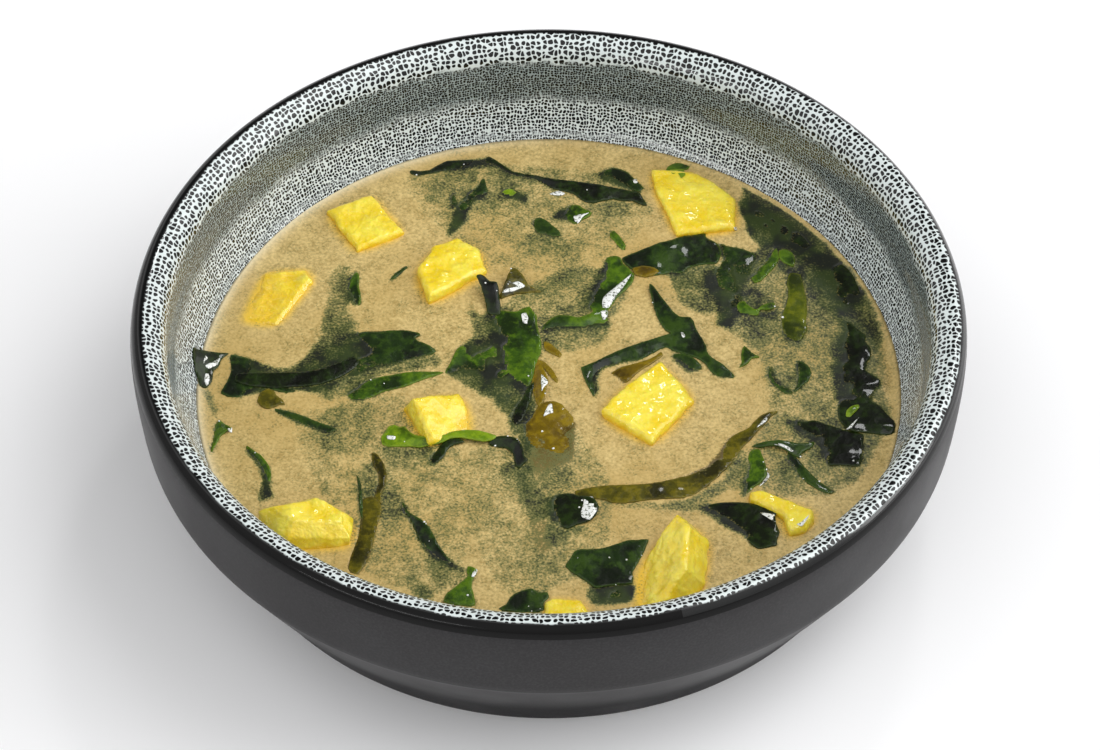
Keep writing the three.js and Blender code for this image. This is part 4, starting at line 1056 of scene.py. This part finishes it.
painted_highlight_finish = painted_highlight_skin()
painted_highlight_films = []
land = tree_of(leaf_pieces + scrap_pieces + tofu_pieces)
for number, text in enumerate(GLINTS):
    film = laid_over(text, f"film_{number:02d}", FILM_SEED + APART * number, 0.09, 0.16)
    finish_piece(film, painted_highlight_finish, "miso_broth")
    painted_highlight_films.append(film)
HERB = [
    "24.8 61.5, 25 62.8, 26.6 63.9, 28.4 64, 29.7 63.2, 29.2 62, 27.4 61.8",
    "25.4 61.8, 26 60.5, 26.9 61, 27.7 59.3, 28.6 60.3, 28.3 61.9, 27 62.1",
]
for number, text in enumerate(HERB):
    sprig = laid_over(text, f"herb_{number}", HERB_SEED + APART * number, 0.25, 0.2)
    finish_piece(sprig, SHADES["green" if number == 0 else "lime"], "wakame")

# %%
# Drops: one small flattened ball, copied over the leaves, painted white as sparkles of light.
DROPS_TRIED = 150
rng = np.random.default_rng(11)
drops = []
for _ in range(DROPS_TRIED):
    host = leaf_pieces[rng.integers(len(leaf_pieces))]
    vertex = host.data.vertices[rng.integers(len(host.data.vertices))]
    if vertex.normal.z < 0.5 or vertex.co.z < (LEVEL + 0.1) * MM:
        continue
    size = rng.uniform(0.12, 0.28) * MM
    bpy.ops.mesh.primitive_ico_sphere_add(subdivisions=2, radius=size, location=vertex.co, scale=(1, 1, 0.7))
    bpy.ops.object.transform_apply(location=True, rotation=True, scale=True)
    bpy.ops.object.shade_smooth()
    drops.append(bpy.context.object)
sparkle_beads = joined(drops, "painted_sparkle_drops")
finish_piece(sparkle_beads, painted_highlight_finish, "miso_broth")
print("drops:", len(drops))
print("films:", len(painted_highlight_films))

# %% [markdown]
# ## The broth
# Miso broth is cloudy, with fine settled grains. It fills the bowl to 22.5 mm, climbs the wall a little at
# its edge, and climbs each piece that breaks its surface. It could be made clear with particles in it, but
# light would take far too long through it; the surface is opaque, and what lies close under it is worked
# out for every point of a fine grid and painted in, fading with depth as a cloudy liquid makes it fade.

# %%
# The surface: a fine square grid drawn out to a disc.
BROTH_RADIUS = 70.05
CELLS = 296
NOTHING_THERE = -99.0
CLEAR_OF_BROTH = 0.22
LEAF_FADE, STEM_FADE, TOFU_FADE = 1.25, 1.15, 1.3
WALL_CLIMB, WALL_REACH = 0.75, 0.9
PIECE_CLIMB, PIECE_REACH = 0.12, 0.7
bpy.ops.mesh.primitive_grid_add(x_subdivisions=CELLS, y_subdivisions=CELLS, size=2)
broth = bpy.context.object
broth.name = "miso_broth_surface"
square = points(broth) * MM
disc = square.copy()
disc[:, 0] = square[:, 0] * np.sqrt(1 - square[:, 1] ** 2 / 2)
disc[:, 1] = square[:, 1] * np.sqrt(1 - square[:, 0] ** 2 / 2)
disc *= BROTH_RADIUS
disc[:, 2] = LEVEL
put(broth, disc)
print("broth:", len(broth.data.polygons), "faces, about", round(2 * BROTH_RADIUS / CELLS, 2), "mm each")


# %%
# What lies under each point: depth straight down, and distance sideways.
def height_over(tree, where, reach=3):
    """How far a piece stands over the surface at each point, in millimetres."""
    heights = np.full(len(where), NOTHING_THERE)
    for i, (x, y, z) in enumerate(where):
        hit = tree.ray_cast(Vector((x, y, z + 25)), DOWN, 25 + reach)
        if hit[0] is not None:
            heights[i] = hit[0].z - z
    return heights


def seen_through(heights, fade, bare):
    """How strongly a piece shows: 1 at the surface and fading with depth; bare where it stands clear."""
    return np.where(heights > CLEAR_OF_BROTH, bare, np.exp(np.minimum(heights, 0) / fade))


def softened(values, passes):
    """The values spread to their neighbours on the grid."""
    side = CELLS + 1
    field = values.reshape(side, side)
    for _ in range(passes):
        field = np.pad(field, 1, mode="edge")
        beside = field[:-2, 1:-1] + field[2:, 1:-1] + field[1:-1, :-2] + field[1:-1, 2:]
        field = (field[1:-1, 1:-1] * 4 + beside) / 8
    return field.ravel()


green = [p for p in leaf_pieces + scrap_pieces + deep_pieces if p["shade"] not in ("brown", "amber")]
brown = [p for p in leaf_pieces + scrap_pieces + deep_pieces if p["shade"] in ("brown", "amber")]
over_green = height_over(tree_of(green), disc)
over_brown = height_over(tree_of(brown), disc)
over_tofu = height_over(tree_of(tofu_pieces), disc, 6)
leaf_shadow = softened(seen_through(over_green, LEAF_FADE, 0.3), 3)
brown_shadow = softened(seen_through(over_brown, STEM_FADE, 0.3), 3)
near_tofu = softened(np.exp(np.minimum(over_tofu, 0) / TOFU_FADE), 9)
tofu_glow = np.maximum(near_tofu, 1.3 * softened(near_tofu, 60))
store(broth, "leaf_shadow", leaf_shadow)
store(broth, "brown_shadow", brown_shadow)
store(broth, "tofu_glow", tofu_glow)
print("points with a leaf close under them:", int((leaf_shadow > 0.4).sum()))

# %%
# Heights: the edge climbs the wall, and the surface climbs what stands in it.
everything = tree_of(tofu_pieces + leaf_pieces + scrap_pieces)
radius = np.hypot(disc[:, 0], disc[:, 1])
by_wall = np.exp(-(BROTH_RADIUS - radius) / WALL_REACH)
climb = WALL_CLIMB * by_wall
for i, p in enumerate(disc):
    near = everything.find_nearest(Vector(p), 3.0)
    if near[0] is not None:
        climb[i] += PIECE_CLIMB * math.exp(-near[3] / PIECE_REACH)
disc[:, 2] += climb + 0.10 * rough(disc, 7.0, 90) + 0.035 * rough(disc, 1.3, 91)
over = np.maximum(over_green, over_brown)
disc[:, 2] = np.where(over > 0.03, np.minimum(disc[:, 2], LEVEL + over - 0.30), disc[:, 2])
disc[:, :2] *= (1 + (0.45 * by_wall / BROTH_RADIUS))[:, None]
put(broth, disc)
# The band along the wall where a highlight is painted into the broth's colour.
store(broth, "painted_shore_highlight", np.exp(-(BROTH_RADIUS - radius) / 0.7))

# %% [markdown]
# The body of the broth under the surface is closed: the open edge is drawn down and in along the bowl's
# wall, and filled at the floor. Nothing of it shows, and it makes the broth one closed piece.

# %%
# Close the broth down to the floor.
activate(broth)
bpy.ops.object.mode_set(mode="EDIT")
bpy.ops.mesh.select_mode(type="EDGE")
bpy.ops.mesh.select_all(action="DESELECT")
bpy.ops.mesh.select_non_manifold()
for drop, scale in ((5, 0.955), (5.5, 0.925), (4.5, 0.80)):
    bpy.ops.mesh.extrude_region_move(TRANSFORM_OT_translate={"value": (0, 0, -drop * MM)})
    bpy.ops.transform.resize(value=(scale, scale, 1), center_override=(0, 0, 0))
bpy.ops.mesh.edge_face_add()
bpy.ops.mesh.select_all(action="SELECT")
bpy.ops.mesh.normals_make_consistent(inside=False)
bpy.ops.object.mode_set(mode="OBJECT")
bpy.ops.object.shade_smooth()
print("broth closed:", len(broth.data.polygons), "faces")


# %% [markdown]
# The broth's colour is sandy beige in fine grains, lighter and darker. A leaf's shadow breaks up into the
# same grains, because the grains lie over it: the shadow is compared with noise instead of simply mixed in.

# %%
# Miso broth.
def miso_broth():
    """Cloudy miso broth with fine grains, wet and still."""
    miso, shader = new_material("Miso broth, cloudy with fine grains")
    where = own_place(miso)
    clump = grain(miso, where, 3.0, 3, 0.55)
    fine = grain(miso, where, 0.62, 3, 0.6)
    large = grain(miso, where, 24, 2)
    mix = maths(miso, "MULTIPLY_ADD", fine, 0.72, maths(miso, "MULTIPLY", clump, 0.28))
    specks = grain(miso, where, 0.42, 2, 0.5)
    base = blend(miso, between(miso, mix, 0.30, 0.70), "A88F52", "DFC584")
    tint = blend(miso, between(miso, large, 0.4, 0.7, 0.0, 0.6), base, "C0A05A")
    glow = maths(miso, "MULTIPLY_ADD", mix, 0.5, stored(miso, "tofu_glow"))
    warm = blend(miso, between(miso, glow, 0.42, 1.10, 0.0, 0.85), tint, "F2C636")
    veil = maths(miso, "MULTIPLY_ADD", specks, 1.2, maths(miso, "MULTIPLY_ADD", clump, 0.7, -0.95))

    def veiled(name, low, high):
        """A shadow broken up by the grains."""
        return between(miso, maths(miso, "SUBTRACT", stored(miso, name), veil), low, high)

    brown = blend(miso, veiled("brown_shadow", 0.10, 0.80), warm, "5A4A16")
    haze = blend(miso, veiled("leaf_shadow", 0.02, 0.56), brown, "72733F")
    sunk = blend(miso, between(miso, grain(miso, where, 6, 3), 0.4, 0.6), "12180A", "2C3A0E")
    leaf = blend(miso, veiled("leaf_shadow", 0.36, 0.85), haze, sunk)
    # Painted highlight: a pale cream line along the wall, bright on the left and fading out to the right.
    painted_shore_highlight = maths(miso, "MULTIPLY", stored(miso, "painted_shore_highlight"),
                  between(miso, millimetres(miso, where, 0), -35, 15, 1.0, 0.1))
    feed(miso, shader, Base_Color=blend(miso, maths(miso, "MULTIPLY", painted_shore_highlight, 0.75), leaf, "E6DCBC"),
         Roughness=0.42, Specular_IOR_Level=0.4, Normal=bumped(miso, mix, 0.10, 0.4))
    return miso


finish_piece(broth, miso_broth(), "miso_broth", "broth")
print("broth finished")

# %% [markdown]
# ## Table and light
# The table is plain and pale. One large soft light stands high on the right, and a smaller one low beside
# it, so the left inside wall is bright and the shadow falls to the left. A long low strip in front draws a
# thin line on the black lip, and a small high window behind gives wet things their glints. The room fills
# the rest: it is dark only where flat wet things would mirror it to the front, so that they keep their
# colour, and a little dimmer low down.

# %%
# Floor, lights and room.
bpy.ops.mesh.primitive_plane_add(size=6)
floor = bpy.context.object
floor.name = "table"
paper, shader = new_material("Plain white paper, matte")
feed(paper, shader, Base_Color=colour("FAFAFB"), Roughness=0.9, Specular_IOR_Level=0.2)
floor.data.materials.append(paper)
floor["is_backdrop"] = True


def softbox(name, at, size, power, tint="FFFFFF"):
    """A square soft light aimed at the bowl."""
    bpy.ops.object.light_add(type="AREA", location=at)
    light = bpy.context.object
    light.name = name
    light.rotation_euler = (Vector((0, 0, 0.02)) - Vector(at)).to_track_quat("-Z", "Y").to_euler()
    light.data.shape = "RECTANGLE"
    light.data.size, light.data.size_y = size
    light.data.energy = power
    light.data.color = colour(tint)[:3]
    return light


softbox("key", (0.75, 0.20, 1.20), (1.1, 1.0), 7)
softbox("side", (1.25, 0.0, 0.42), (0.6, 0.5), 5)
softbox("strip", (-0.75, -0.95, 0.42), (0.9, 0.03), 1.6)
softbox("window", (0.30, 0.80, 0.98), (0.13, 0.13), 1.0)
world = bpy.data.worlds.new("room")
world.use_nodes = True
toward = add(world, "TexCoord").outputs["Generated"]
facing = add(world, "VectorMath", {0: toward, 1: (0, 0.68, 0.73)}, operation="DOT_PRODUCT").outputs["Value"]
mirrored_to_front = between(world, facing, 0.74, 0.93, 0.98, 0.10)
height = add(world, "SeparateXYZ", {0: toward}).outputs[2]
low_down = add(world, "MapRange", {"Value": height, "From Min": 0.0, "From Max": 0.55, "To Min": 0.64,
                                   "To Max": 1.0}).outputs[0]
feed(world, world.node_tree.nodes["Background"], Color=(1, 1, 1, 1),
     Strength=maths(world, "MULTIPLY", mirrored_to_front, low_down))
bpy.context.scene.world = world

# %% [markdown]
# ## Sizes
# The visual model's box is measured and printed.

# %%
# Print the visual model's box.
low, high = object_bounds()
print("visual box, mm:", [round(v / MM, 2) for v in (*low, *high)])
